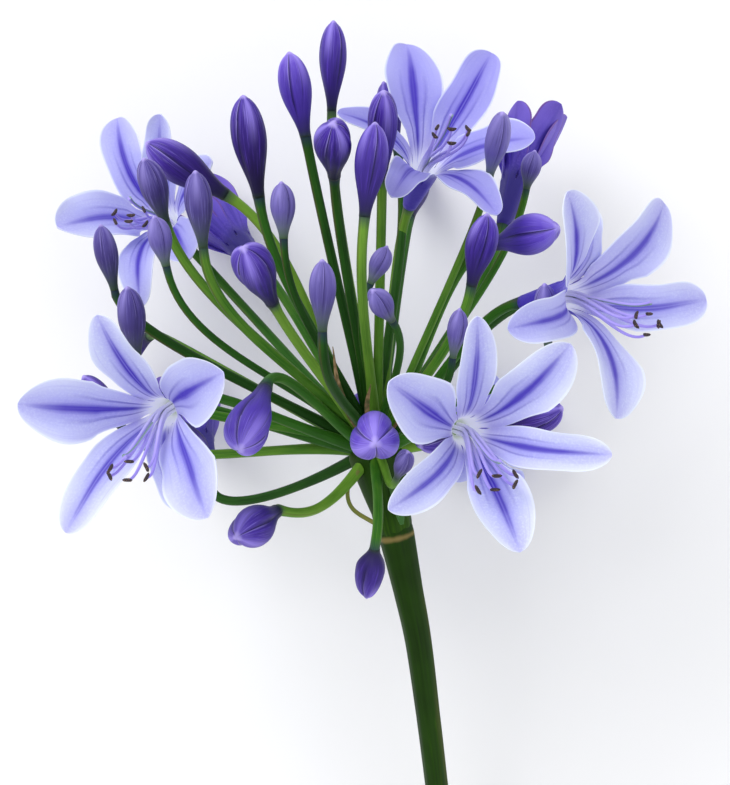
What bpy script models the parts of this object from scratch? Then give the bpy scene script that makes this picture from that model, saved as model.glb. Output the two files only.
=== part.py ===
# Agapanthus flower head on a cut stem, lying on a level surface
# Built for Blender 4.5, in metres, with +Z up
#
# The stem lies along -Y and the head along +Y.
# The tables below are in millimetres from the middle of the receptacle,
# the swollen stem top that all the flower stalks grow from.
# RECEPTACLE is that middle in the part's own frame, whose origin is on the
# surface, under the middle of the whole part.

import math
import random

import bmesh
import bpy
from mathutils import Vector

MM = 0.001
RECEPTACLE = Vector((0.94, 26.4, 62.0))
CLEARANCE = 0.3

# Stem and receptacle
SCAPE_PATH = (
    (5.3, -21.4, -2.1),
    (8.4, -36.0, -5.0),
    (11.2, -50.0, -9.5),
    (14.0, -70.5, -18.0),
    (16.6, -91.0, -28.0),
    (19.4, -114.0, -39.0),
    (22.6, -139.0, -50.0),
    (26.0, -162.0, -58.9),
)
SCAPE_RADII = (4.7, 3.9, 3.5, 3.2, 3.1, 3.1, 3.2, 3.3)
SCAPE_SIDES = 14
NECK_PATH = ((4.9, -21.0, -2.0), (3.6, -15.0, -0.8), (1.8, -8.0, -0.3), (0.4, -1.0, 0.0), (0.0, 5.0, 0.4))
NECK_RADII = (4.9, 5.0, 6.2, 7.6, 5.2)
SCAR_RADIUS = 5.5
SCAR_PLACES = (0.15, 0.4)
STALK_ROOT = 3.5

# Flower stalks
STALK_SIDES = 5
STALK_STEPS = 5
STALK_RADIUS = 1.2
YOUNG_STALK_RADIUS = 0.95
STALK_SWELL = 1.3
LOWEST_START = -0.35
STRAIGHT_END = 1.5
LEAVING_SHARE = 0.4
ARRIVING_SHARE = 0.3

# Stalks that bend on their own way, as the handles where they leave and arrive
STALK_BENDS = {
    "bud_21": ((-12.0, -15.0, 12.0), (-17.0, -16.0, 20.0)),
    "bud_13": ((-30.0, 17.0, 8.0), (-61.0, 29.0, 11.0)),
    "bud_27": ((10.0, 14.0, 14.0), (36.0, 14.0, 26.0)),
    "bud_36": ((-28.0, 14.0, 0.0), (-55.0, 30.0, -20.0)),
    "bloom_7": ((-22.0, -12.0, -12.0), (-47.0, -20.0, -28.0)),
}

# Buds, as name, neck, tip, greatest width, and where the belly is along the bud
BUDS = (
    ("bud_01", (-11.5, 88.0, 5.0), (-11.0, 110.5, 8.0), 7.2, 0.62),
    ("bud_02", (-18.0, 80.5, 14.0), (-22.0, 101.0, 18.0), 8.4, 0.62),
    ("bud_03", (-29.5, 64.5, 22.0), (-33.0, 88.5, 30.0), 9.0, 0.62),
    ("bud_04", (-10.5, 69.0, 30.0), (-10.5, 79.5, 50.0), 9.5, 0.66),
    ("bud_05", (-3.0, 58.0, 42.0), (-0.5, 80.0, 46.0), 8.2, 0.62),
    ("bud_06", (1.4, 69.5, 20.0), (1.6, 88.0, 43.0), 7.6, 0.66),
    ("bud_07", (-23.0, 53.5, 30.0), (-23.5, 67.0, 32.0), 6.4, 0.6),
    ("bud_08", (-25.5, 37.5, 38.0), (-31.5, 49.5, 56.0), 10.1, 0.66),
    ("bud_09", (-38.5, 66.0, 10.0), (-58.0, 78.5, 16.0), 10.0, 0.62),
    ("bud_10", (-53.0, 58.5, 22.0), (-57.5, 73.0, 30.0), 7.4, 0.6),
    ("bud_11", (-43.0, 51.5, 28.0), (-44.5, 69.5, 34.0), 7.1, 0.62),
    ("bud_12", (-51.5, 46.5, 36.0), (-54.0, 58.0, 40.0), 6.1, 0.6),
    ("bud_13", (-66.5, 41.5, 14.0), (-69.5, 57.5, 18.0), 6.1, 0.6),
    ("bud_14", (-60.5, 24.0, 18.0), (-62.0, 41.5, 26.0), 7.3, 0.62),
    ("bud_15", (-13.0, 30.0, 52.0), (-13.0, 46.5, 56.0), 6.6, 0.62),
    ("bud_16", (-1.5, 43.0, 18.0), (2.5, 52.0, 20.0), 5.5, 0.6),
    ("bud_17", (3.5, 33.0, 44.0), (-1.0, 39.5, 54.0), 6.0, 0.62),
    ("bud_18", (18.5, 24.0, 38.0), (20.0, 35.5, 42.0), 5.1, 0.6),
    ("bud_19", (-27.0, 16.5, 44.0), (-32.0, 2.5, 64.0), 10.9, 0.66),
    ("bud_20", (-1.0, 7.5, 50.0), (-0.5, 4.0, 74.0), 11.7, 0.66),
    ("bud_21", (-25.0, -14.0, 28.0), (-33.5, -19.0, 48.0), 10.2, 0.62),
    ("bud_22", (-0.5, -22.5, 36.0), (-2.5, -35.0, 30.0), 7.6, 0.4),
    ("bud_23", (23.5, 42.0, 28.0), (27.0, 59.0, 34.0), 8.1, 0.62),
    ("bud_24", (30.5, 53.5, 10.0), (45.0, 56.5, 24.0), 10.6, 0.6),
    ("bud_25", (28.4, 70.0, 20.0), (30.4, 83.0, 42.0), 6.2, 0.6),
    ("bud_26", (39.5, 69.0, -6.0), (41.5, 78.5, -4.0), 5.5, 0.6),
    ("bud_27", (42.0, 27.0, 34.0), (40.5, 41.5, 42.0), 6.0, 0.62),
    ("bud_28", (32.0, 6.0, 6.0), (47.0, 11.5, 14.0), 9.2, 0.6),
    ("bud_29", (20.5, 8.5, 6.0), (11.0, 2.0, 18.0), 8.0, 0.6),
    ("bud_30", (5.0, -5.5, 30.0), (7.5, 1.0, 38.0), 4.9, 0.6),
    ("bud_31", (-66.5, 7.0, 0.0), (-75.0, 19.5, 8.0), 7.2, 0.6),
    ("bud_32", (-50.5, 8.5, 14.0), (-43.0, -3.0, 24.0), 8.1, 0.62),
    ("bud_33", (5.5, 80.0, -12.0), (2.0, 97.0, -8.0), 6.3, 0.6),
    ("bud_34", (9.5, 64.0, -43.0), (13.0, 81.0, -61.9), 8.4, 0.62),
    ("bud_35", (45.5, 41.0, -38.0), (66.0, 45.0, -50.0), 8.8, 0.62),
    ("bud_36", (-61.5, 31.0, -30.0), (-74.5, 24.0, -46.0), 8.4, 0.62),
    ("bud_37", (9.0, 11.0, -33.0), (12.0, 16.0, -55.0), 8.0, 0.62),
    ("bud_38", (-2.0, 8.0, -34.0), (-4.0, 13.0, -55.0), 8.4, 0.62),
)
BUD_SIDES = 9
BUD_RINGS = ((0.0, 0.17), (0.3, 0.34), (0.62, 0.5), (0.82, 0.42), (0.94, 0.23))
BELLY_RING = 2
LOBES = 3
LOBE_DEPTH = 0.06

# Flowers, as name, middle of the mouth, axis, and six tepals.
# Each tepal is its bearing round the axis, the angle that its end leans out, its length and its width.
BLOOMS = (
    ("bloom_1", (-50.5, 11.0, 52.0), (-0.27, -0.21, 0.94),
     ((29, 70, 36, 15.5), (103, 70, 36, 11), (166, 57, 37, 15.5),
      (243, 74, 37, 10.5), (292, 125, 24, 9), (304, 65, 36, 15.5))),
    ("bloom_2", (20.5, 6.5, 62.0), (0.24, -0.07, 0.97),
     ((57, 67, 36, 13.5), (100, 67, 37, 9), (147, 70, 36, 15),
      (207, 73, 36, 10), (281, 57, 36, 13.5), (358, 67, 36, 9.5))),
    ("bloom_3", (12.0, 72.5, 4.0), (0.22, 0.55, 0.80),
     ((91, 110, 36, 14.5), (180, 81, 31, 8.5), (243, 84, 33, 9.5),
      (292, 84, 36, 11), (342, 60, 32, 13.5), (63, 97, 37, 12))),
    ("bloom_4", (46.0, 39.0, 34.0), (0.68, 0.08, 0.72),
     ((52, 104, 36, 14), (98, 100, 23, 10), (127, 81, 36, 15),
      (192, 118, 34, 11), (255, 88, 37, 17), (10, 83, 36, 12))),
    ("bloom_5", (-56.5, 61.5, -26.0), (-0.27, 0.32, 0.91),
     ((8, 51, 34, 12), (66, 43, 33, 10), (105, 112, 33, 11),
      (221, 50, 35, 16.5), (283, 90, 37, 10), (305, 68, 35, 12))),
    ("bloom_6", (38.0, 73.0, -27.0), (0.26, 0.90, -0.35),
     ((332, 13, 24.5, 13), (20, 13, 24, 11), (105, 12, 24, 13),
      (160, 13, 24, 11), (200, 12, 21, 13), (300, 15, 22, 11))),
    ("bloom_7", (-48.5, 2.0, -37.7), (-0.25, 0.60, -0.76),
     ((10, 14, 25, 9.5), (70, 10, 24, 9.5), (130, 12, 25, 9.5),
      (190, 10, 24, 9.5), (250, 12, 25, 9.5), (310, 14, 24, 9.5))),
    ("bloom_8", (27.0, 3.0, -30.0), (0.30, 0.0, -0.95),
     ((20, 38, 32, 13), (80, 42, 31, 10), (140, 36, 32, 13),
      (200, 42, 31, 10), (260, 38, 32, 13), (320, 42, 31, 10))),
    ("bloom_9", (-37.5, 56.5, -37.4), (-0.45, 0.50, -0.74),
     ((0, 16, 25, 9.5), (60, 12, 24, 9.5), (120, 16, 25, 9.5),
      (180, 12, 24, 9.5), (240, 14, 25, 9.5), (300, 12, 24, 9.5))),
)
TUBE_LENGTH = 14.0
TUBE_OUTER = ((0.0, 1.9), (6.0, 2.9), (14.0, 4.0))
TUBE_INNER = ((14.0, 3.25), (6.0, 2.15), (1.5, 1.2))
TEPALS = 6
MOUTH_LEAN = 14.0
LEAN_POWER = 0.75
TURN_END = 2 / 3
TEPAL_ROWS = ((0.17, 0.62), (0.36, 0.88), (0.56, 1.0), (0.76, 0.88), (0.92, 0.55))
NEIGHBOUR_SHARE = 0.6
OVERLAP_DEPTH = 1.5
OVERLAP_GAIN = 2.0
TROUGH = 0.09
TEPAL_THICKNESS = 0.75
INTEGRATION_STEPS = 48

# Pistil and six stamens of a flower, which reach, sag and spread most where it is wide open
OVARY = ((2.1, 0.7), (4.5, 1.2), (8.0, 1.7))
OVARY_SIDES = 6
FILAMENT_FOOT_HEIGHT = 7.6
FILAMENT_FOOT_RADIUS = 1.1
FILAMENT_RADIUS = 0.42
FILAMENT_STEPS = 4
FILAMENT_SIDES = 3
FILAMENT_LEAVING = 0.35
FILAMENT_ARRIVING = 0.3
FILAMENT_UPTURN = 0.25
STAMENS = 6
LEAST_SPREAD = 0.35
STAMEN_REACH = 25.0
STAMEN_SAG = 9.5
STYLE_REACH = 27.0
STYLE_SAG = 4.5
STAMEN_SPREAD = 4.5
SPREAD_ALONG_SAG = 0.4
CLOSED_REACH = 0.55
OPEN_LEAN = 65.0
HALF_OPEN = 0.4
STAMEN_VARIATION = 1.2
ANTHER_LENGTH = 2.6
ANTHER_RADIUS = 0.75
SAG_DIRECTION = Vector((0.0, -1.0, 0.0))

# Colours as linear RGB, with a roughness
SCAPE_GREEN = (0.020, 0.075, 0.010)
STALK_GREEN = (0.075, 0.240, 0.035)
BUD_VIOLET = (0.120, 0.070, 0.400)
YOUNG_BUD_LILAC = (0.300, 0.270, 0.520)
TEPAL_BLUE = (0.420, 0.430, 0.830)
HALF_OPEN_VIOLET = (0.150, 0.090, 0.520)
FILAMENT_LILAC = (0.440, 0.350, 0.760)
PETAL_ROUGHNESS = 0.45
GREEN_ROUGHNESS = 0.4
YOUNG_BUDS = ("bud_07", "bud_12", "bud_16", "bud_17", "bud_18", "bud_25", "bud_26", "bud_27", "bud_30")


# Start from an empty scene
for item in list(bpy.data.objects):
    bpy.data.objects.remove(item, do_unlink=True)


def finish(name, colour, roughness):
    """A plain Principled material for one piece."""
    material = bpy.data.materials.new(name)
    material.use_nodes = True
    shader = material.node_tree.nodes["Principled BSDF"]
    shader.inputs["Base Color"].default_value = (*colour, 1.0)
    shader.inputs["Roughness"].default_value = roughness
    return material


def mesh_of(name, points, faces):
    """A mesh in metres from points in millimetres, with its faces split and pointing out."""
    mesh = bpy.data.meshes.new(name)
    mesh.from_pydata([(RECEPTACLE + point) * MM for point in points], [], faces)
    work = bmesh.new()
    work.from_mesh(mesh)
    bmesh.ops.triangulate(work, faces=work.faces[:])
    bmesh.ops.recalc_face_normals(work, faces=work.faces[:])
    work.to_mesh(mesh)
    work.free()
    return mesh


def add_piece(name, points, faces, colour, roughness):
    """One closed solid as an object of its own."""
    piece = bpy.data.objects.new(name, mesh_of(name, points, faces))
    piece.data.materials.append(finish(name, colour, roughness))
    bpy.context.scene.collection.objects.link(piece)
    return piece


def fuse(piece, solids):
    """Join closed solids, as (points, faces), to a piece with one Boolean union."""
    group = bpy.data.collections.new(piece.name + "_joined")
    bpy.context.scene.collection.children.link(group)
    for points, faces in solids:
        solid = bpy.data.objects.new("solid", mesh_of("solid", points, faces))
        group.objects.link(solid)
    union = piece.modifiers.new("union", "BOOLEAN")
    union.operation = "UNION"
    union.operand_type = "COLLECTION"
    union.collection = group
    union.solver = "MANIFOLD"
    depsgraph = bpy.context.evaluated_depsgraph_get()
    joined = bpy.data.meshes.new_from_object(piece.evaluated_get(depsgraph))
    piece.modifiers.clear()
    piece.data = joined
    for solid in list(group.objects):
        bpy.data.objects.remove(solid, do_unlink=True)
    bpy.data.collections.remove(group)


def turned(path, radii, sides, lobes=0, lobe_depth=0.0, pointed=False):
    """A closed tube along a path, as points and faces; a pointed one ends at its last path point."""
    ring_centres = path[:-1] if pointed else path
    points = []
    side = None
    for index, centre in enumerate(ring_centres):
        before = path[max(index - 1, 0)]
        after = path[min(index + 1, len(path) - 1)]
        along = (after - before).normalized()
        if side is None:
            side = along.orthogonal().normalized()
        side = (side - along * side.dot(along)).normalized()
        across = along.cross(side)
        for step in range(sides):
            angle = math.tau * step / sides
            radius = radii[index] * (1.0 + lobe_depth * math.cos(lobes * angle))
            points.append(centre + (side * math.cos(angle) + across * math.sin(angle)) * radius)
    faces = [list(range(sides))[::-1]]
    for ring in range(len(ring_centres) - 1):
        for step in range(sides):
            here = ring * sides + step
            beside = ring * sides + (step + 1) % sides
            faces.append((here, beside, beside + sides, here + sides))
    last = (len(ring_centres) - 1) * sides
    if pointed:
        points.append(path[-1])
        for step in range(sides):
            faces.append((last + step, last + (step + 1) % sides, len(points) - 1))
    else:
        faces.append(list(range(last, last + sides)))
    return points, faces


def bezier(start, leave, arrive, end, steps):
    """Points along a cubic curve with its two handles."""
    curve = []
    for step in range(steps + 1):
        t = step / steps
        u = 1.0 - t
        curve.append(start * u**3 + leave * (3 * u * u * t) + arrive * (3 * u * t * t) + end * t**3)
    return curve


def stalk(name, neck, axis, radius):
    """A flower stalk from inside the receptacle to just below a neck."""
    heading = neck.normalized()
    heading.y = max(heading.y, LOWEST_START)
    heading.normalize()
    start = heading * STALK_ROOT
    end = neck - axis * CLEARANCE
    bend_end = end - axis * STRAIGHT_END
    reach = (end - start).length
    leave = start + heading * reach * LEAVING_SHARE
    arrive = end - axis * reach * ARRIVING_SHARE
    if name in STALK_BENDS:
        leave = Vector(STALK_BENDS[name][0])
        arrive = Vector(STALK_BENDS[name][1])
    path = bezier(start, leave, arrive, bend_end, STALK_STEPS - 1) + [end]
    radii = [radius] * (STALK_STEPS - 1) + [radius * STALK_SWELL, radius * STALK_SWELL]
    return turned(path, radii, STALK_SIDES)


def add_bud(name, neck, tip, width, belly):
    """A closed three-lobed bud, with its widest ring moved to the belly."""
    length = tip - neck
    plain_belly = BUD_RINGS[BELLY_RING][0]
    path = []
    radii = []
    for place, share in BUD_RINGS:
        if place <= plain_belly:
            moved = place * belly / plain_belly
        else:
            moved = 1.0 - (1.0 - place) * (1.0 - belly) / (1.0 - plain_belly)
        path.append(neck + length * moved)
        radii.append(width * share)
    path.append(tip)
    points, faces = turned(path, radii, BUD_SIDES, LOBES, LOBE_DEPTH, pointed=True)
    colour = YOUNG_BUD_LILAC if name in YOUNG_BUDS else BUD_VIOLET
    add_piece(name, points, faces, colour, PETAL_ROUGHNESS)


def tepal_line(base_bearing, bearing, lean, length):
    """Fine points along a tepal's middle from the mouth, as (place, point, tangent, bearing)."""
    point = Vector((math.cos(base_bearing), math.sin(base_bearing), 0.0)) * TUBE_INNER[0][1]
    point.z = TUBE_LENGTH
    line = []
    for step in range(INTEGRATION_STEPS + 1):
        place = step / INTEGRATION_STEPS
        tilt = math.radians(MOUTH_LEAN + (lean - MOUTH_LEAN) * place**LEAN_POWER)
        turn = base_bearing + (bearing - base_bearing) * min(1.0, place / TURN_END)
        outward = math.sin(tilt)
        tangent = Vector((outward * math.cos(turn), outward * math.sin(turn), math.cos(tilt)))
        line.append((place, point.copy(), tangent, turn))
        point += tangent * length / INTEGRATION_STEPS
    return line


def side_limit(centre, other, across):
    """Half the width that a tepal may take beside its neighbour, more where one lies behind the other."""
    beside = abs((other - centre).dot(across)) * NEIGHBOUR_SHARE
    depth = math.hypot(math.hypot(*centre.xy) - math.hypot(*other.xy), centre.z - other.z)
    return beside + max(0.0, depth - OVERLAP_DEPTH) * OVERLAP_GAIN


def perianth(tepals, rows):
    """The tube and six tepals of a flower as one closed skin, with its neck at the origin."""
    columns = TEPALS * 2
    points = []
    rings = []
    bearings = [math.radians(tepal[0]) for tepal in tepals]
    drift = 0.0
    for index, bearing in enumerate(bearings):
        drift += (bearing - bearings[0]) % math.tau - math.tau * index / TEPALS
    first = bearings[0] + drift / TEPALS
    for height, radius in TUBE_OUTER + TUBE_INNER:
        ring = []
        for column in range(columns):
            angle = first + math.tau * column / columns
            ring.append(len(points))
            points.append(Vector((math.cos(angle) * radius, math.sin(angle) * radius, height)))
        rings.append(ring)
    faces = [rings[0], rings[-1]]
    for lower, upper in ((0, 1), (1, 2), (3, 4), (4, 5)):
        for column in range(columns):
            beside = (column + 1) % columns
            below = (rings[lower][column], rings[lower][beside])
            faces.append(below + (rings[upper][beside], rings[upper][column]))

    lines = []
    for index, (bearing, lean, length, _) in enumerate(tepals):
        base = first + math.tau * index / TEPALS
        turn = (math.radians(bearing) - base + math.pi) % math.tau - math.pi
        lines.append(tepal_line(base, base + turn, lean, length))

    for index, line in enumerate(lines):
        widest = tepals[index][3]
        middle = index * 2
        right = (middle - 1) % columns
        left = (middle + 1) % columns
        front = [rings[3][right], rings[3][middle], rings[3][left]]
        back = [rings[2][right], rings[2][middle], rings[2][left]]
        for place, share in rows:
            step = round(place * INTEGRATION_STEPS)
            _, centre, along, turn = line[step]
            across = Vector((-math.sin(turn), math.cos(turn), 0.0))
            across = (across - along * along.dot(across)).normalized()
            inward = along.cross(across)
            after = lines[(index + 1) % TEPALS][step][1]
            before = lines[(index - 1) % TEPALS][step][1]
            half = widest * share / 2
            left_half = min(half, side_limit(centre, after, across))
            right_half = min(half, side_limit(centre, before, across))
            row = (
                centre - across * right_half + inward * right_half * 2 * TROUGH,
                centre,
                centre + across * left_half + inward * left_half * 2 * TROUGH,
            )
            next_front = []
            next_back = []
            for point in row:
                next_front.append(len(points))
                points.append(point)
                next_back.append(len(points))
                points.append(point - inward * TEPAL_THICKNESS)
            for strip in range(2):
                for old, new in ((front, next_front), (back, next_back)):
                    faces.append((old[strip], old[strip + 1], new[strip + 1]))
                    faces.append((old[strip], new[strip + 1], new[strip]))
            for edge in (0, 2):
                faces.append((front[edge], back[edge], next_back[edge], next_front[edge]))
            front = next_front
            back = next_back
        _, tip, along, turn = line[-1]
        across = Vector((-math.sin(turn), math.cos(turn), 0.0))
        front_tip = len(points)
        points.append(tip)
        back_tip = len(points)
        points.append(tip - along.cross(across) * TEPAL_THICKNESS)
        for strip in range(2):
            faces.append((front[strip], front[strip + 1], front_tip))
            faces.append((back[strip], back[strip + 1], back_tip))
        for edge in (0, 2):
            faces.append((front[edge], back[edge], back_tip, front_tip))
    return points, faces


def spindle(start, end, radius):
    """A four-sided spindle between two points."""
    along = (end - start).normalized()
    side = along.orthogonal().normalized() * radius
    across = along.cross(side)
    middle = (start + end) / 2
    points = [start, middle + side, middle + across, middle - side, middle - across, end]
    faces = [(0, 2, 1), (0, 3, 2), (0, 4, 3), (0, 1, 4), (5, 1, 2), (5, 2, 3), (5, 3, 4), (5, 4, 1)]
    return points, faces


def filament(foot, reach, sag, turn, neck, spread):
    """The middle line of one filament, which leaves along the flower's axis, sags and turns up."""
    axis = turn @ Vector((0.0, 0.0, 1.0))
    start = neck + turn @ foot
    mouth = start + axis * (TUBE_LENGTH - foot.z)
    down = SAG_DIRECTION - axis * SAG_DIRECTION.dot(axis)
    end = neck + axis * (TUBE_LENGTH + reach) + down * sag + spread
    leave = mouth + axis * reach * FILAMENT_LEAVING
    arrive = end - axis * reach * FILAMENT_ARRIVING + down * sag * FILAMENT_UPTURN
    return [start] + bezier(mouth, leave, arrive, end, FILAMENT_STEPS)


def add_stamens(name, neck, turn, openness):
    """The ovary, style and six stamens of a flower, which stand free inside its tube."""
    rng = random.Random(name)
    axis = turn @ Vector((0.0, 0.0, 1.0))
    across = axis.cross(SAG_DIRECTION).normalized()
    down = across.cross(axis)
    reach_share = CLOSED_REACH + (1.0 - CLOSED_REACH) * openness
    ovary_path = [neck + axis * height for height, _ in OVARY]
    points, faces = turned(ovary_path, [radius for _, radius in OVARY], OVARY_SIDES)
    solids = []
    for index in range(STAMENS):
        angle = math.tau * (index + 0.5) / STAMENS
        outward = Vector((math.cos(angle), math.sin(angle), 0.0))
        foot = outward * FILAMENT_FOOT_RADIUS
        foot.z = FILAMENT_FOOT_HEIGHT
        out = turn @ outward
        spread = across * out.dot(across) + down * out.dot(down) * SPREAD_ALONG_SAG
        spread = spread * STAMEN_SPREAD * openness + out * LEAST_SPREAD
        reach = (STAMEN_REACH + rng.uniform(-STAMEN_VARIATION, STAMEN_VARIATION)) * reach_share
        sag = (STAMEN_SAG + rng.uniform(-STAMEN_VARIATION, STAMEN_VARIATION)) * openness
        path = filament(foot, reach, sag, turn, neck, spread)
        solids.append(turned(path, [FILAMENT_RADIUS] * len(path), FILAMENT_SIDES))
        lie = path[-1] - path[-2]
        if openness > HALF_OPEN:
            lie = lie.cross(out)
        lie = lie.normalized() * ANTHER_LENGTH / 2
        solids.append(spindle(path[-1] - lie, path[-1] + lie, ANTHER_RADIUS))
    foot = Vector((0.0, 0.0, FILAMENT_FOOT_HEIGHT))
    path = filament(foot, STYLE_REACH * reach_share, STYLE_SAG * openness, turn, neck, Vector())
    solids.append(turned(path, [FILAMENT_RADIUS] * len(path), FILAMENT_SIDES))
    piece = add_piece(name + "_stamens", points, faces, FILAMENT_LILAC, PETAL_ROUGHNESS)
    fuse(piece, solids)


def add_bloom(name, mouth, axis, tepals):
    """A flower: its perianth, and its stamens and pistil as a second piece."""
    axis = Vector(axis).normalized()
    turn = Vector((0.0, 0.0, 1.0)).rotation_difference(axis)
    neck = Vector(mouth) - axis * TUBE_LENGTH
    openness = min(1.0, sum(lean for _, lean, _, _ in tepals) / TEPALS / OPEN_LEAN)
    rows = TEPAL_ROWS if openness > HALF_OPEN else TEPAL_ROWS[::2]
    points, faces = perianth(tepals, rows)
    points = [neck + turn @ point for point in points]
    colour = HALF_OPEN_VIOLET if openness < HALF_OPEN else TEPAL_BLUE
    add_piece(name, points, faces, colour, PETAL_ROUGHNESS)
    add_stamens(name, neck, turn, openness)
    return neck, axis


# The cut stem
scape_points, scape_faces = turned([Vector(point) for point in SCAPE_PATH], SCAPE_RADII, SCAPE_SIDES)
add_piece("scape", scape_points, scape_faces, SCAPE_GREEN, GREEN_ROUGHNESS)

# The flowers and buds, and a stalk to the neck of each
stalks = []
for name, mouth, axis, tepals in BLOOMS:
    flower_neck, flower_axis = add_bloom(name, mouth, axis, tepals)
    stalks.append(stalk(name, flower_neck, flower_axis, STALK_RADIUS))
for name, neck, tip, width, belly in BUDS:
    add_bud(name, Vector(neck), Vector(tip), width, belly)
    radius = YOUNG_STALK_RADIUS if name in YOUNG_BUDS else STALK_RADIUS
    stalks.append(stalk(name, Vector(neck), (Vector(tip) - Vector(neck)).normalized(), radius))

# The receptacle, with the scar ring that its fallen sheath left and all the stalks
neck_points, neck_faces = turned([Vector(point) for point in NECK_PATH], NECK_RADII, SCAPE_SIDES)
receptacle = add_piece("umbel_stalks", neck_points, neck_faces, STALK_GREEN, GREEN_ROUGHNESS)
scar_path = [Vector(NECK_PATH[0]).lerp(Vector(NECK_PATH[1]), place) for place in SCAR_PLACES]
stalks.append(turned(scar_path, (SCAR_RADIUS, SCAR_RADIUS), SCAPE_SIDES))
fuse(receptacle, stalks)
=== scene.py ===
# Agapanthus flower head on a cut stem
# Lengths are in millimetres from the middle of the receptacle, the swollen stem top,
# until a mesh is made, which is in metres in the part's own frame.

import math
import random

import bmesh
import bpy
import numpy as np
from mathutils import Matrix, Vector


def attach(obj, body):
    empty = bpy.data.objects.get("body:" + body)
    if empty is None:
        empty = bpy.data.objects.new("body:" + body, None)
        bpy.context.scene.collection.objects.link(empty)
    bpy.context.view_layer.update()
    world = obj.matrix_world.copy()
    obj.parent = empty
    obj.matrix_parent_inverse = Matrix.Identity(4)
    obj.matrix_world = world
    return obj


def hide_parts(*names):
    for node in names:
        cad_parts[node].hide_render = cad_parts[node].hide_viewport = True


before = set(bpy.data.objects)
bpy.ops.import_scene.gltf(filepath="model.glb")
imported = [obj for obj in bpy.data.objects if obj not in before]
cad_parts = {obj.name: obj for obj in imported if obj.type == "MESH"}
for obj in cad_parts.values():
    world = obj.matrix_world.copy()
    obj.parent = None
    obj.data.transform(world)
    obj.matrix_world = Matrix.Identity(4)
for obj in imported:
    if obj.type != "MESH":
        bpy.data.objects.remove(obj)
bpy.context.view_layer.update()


# Viewpoint
# The camera looks straight down, from 600 mm over the receptacle, the swollen top of the stem.
# It stands a little towards the flowers, so that it sees the whole head and only some of the stem.
MM = 0.001
RECEPTACLE = Vector((0.94, 26.4, 62.0))
VIEWPOINT = Vector((-2.9, 15.5, 600.0))
LENS_MM = 105.85


def placed(name, data):
    """A new object in the scene, at the world's origin."""
    thing = bpy.data.objects.new(name, data)
    bpy.context.scene.collection.objects.link(thing)
    return thing


camera = placed("viewpoint", bpy.data.cameras.new("viewpoint"))
camera.data.lens = LENS_MM
camera.location = (RECEPTACLE + VIEWPOINT) * MM
bpy.context.scene.camera = camera


# Cut stem
# The leafless stem of the flower head: solid, round, juicy and smooth, cut square at its foot.
# Its dark green skin is waxy and carries fine paler lines along its length.
SCAPE_PATH = (
    (3.8, -15.5, -0.9),
    (5.3, -21.4, -2.1),
    (8.4, -36.0, -5.0),
    (11.2, -50.0, -9.5),
    (14.0, -70.5, -18.0),
    (16.6, -91.0, -28.0),
    (19.4, -114.0, -39.0),
    (22.6, -139.0, -50.0),
    (26.0, -162.0, -58.9),
)
SCAPE_RADII = (4.2, 4.75, 3.9, 3.5, 3.2, 3.1, 3.1, 3.2, 3.3)
SCAPE_SIDES = 40
SCAPE_RIBS = 9.0
SCAPE_RIB_HEIGHT = 0.06
STEPS_BETWEEN_POINTS = 8
SCAR_AT = 6.4
SCAR_HALF_WIDTH = 1.2
NECK_TINT_LENGTH = 3.2


def linear(code):
    """A colour socket's value from an sRGB hex code."""
    channels = [int(code[place:place + 2], 16) / 255 for place in (1, 3, 5)]
    return tuple([c / 12.92 if c <= 0.04045 else ((c + 0.055) / 1.055) ** 2.4 for c in channels] + [1.0])


def add(tree, kind, settings=None, inputs=None, stops=None):
    """One node, with settings, inputs as values or as sockets to link, and ramp stops as hex or grey."""
    node = tree.nodes.new(kind)
    for key, value in (settings or {}).items():
        setattr(node, key, value)
    for key, value in (inputs or {}).items():
        socket = node.inputs[key]
        if isinstance(value, bpy.types.NodeSocket):
            tree.links.new(value, socket)
        else:
            socket.default_value = value
    if stops:
        while len(node.color_ramp.elements) < len(stops):
            node.color_ramp.elements.new(0.5)
        for element, (place, code) in zip(node.color_ramp.elements, stops):
            element.position = place
            element.color = linear(code) if isinstance(code, str) else (code, code, code, 1.0)
    return node


def smooth_path(points):
    """A smooth curve through points."""
    points = [Vector(point) for point in points]
    ends = [points[0] * 2 - points[1]] + points + [points[-1] * 2 - points[-2]]
    curve = []
    for index in range(len(points) - 1):
        a, b, c, d = ends[index:index + 4]
        for step in range(STEPS_BETWEEN_POINTS):
            t = step / STEPS_BETWEEN_POINTS
            curve.append((b * 2 + (c - a) * t + (a * 2 - b * 5 + c * 4 - d) * t * t
                          + (b * 3 - a - c * 3 + d) * t ** 3) / 2)
    return curve + [points[-1]]


def path_mesh(name, runs):
    """A mesh of lines, each run being (points, radii, tone), with the values its skin is drawn from."""
    points = []
    edges = []
    values = {"thick": [], "run": [], "to_neck": [], "tone": []}
    for path, radii, tone in runs:
        lengths = [0.0]
        for before, after in zip(path, path[1:]):
            lengths.append(lengths[-1] + (after - before).length)
        for index, point in enumerate(path):
            if index:
                edges.append((len(points) - 1, len(points)))
            points.append((RECEPTACLE + point) * MM)
            values["thick"].append(radii[index] * MM)
            values["run"].append(lengths[index] * MM)
            values["to_neck"].append((lengths[-1] - lengths[index]) * MM)
            values["tone"].append(tone)
    mesh = bpy.data.meshes.new(name)
    mesh.from_pydata(points, edges, [])
    for key, numbers in values.items():
        mesh.attributes.new(key, "FLOAT", "POINT").data.foreach_set("value", numbers)
    return mesh


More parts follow.
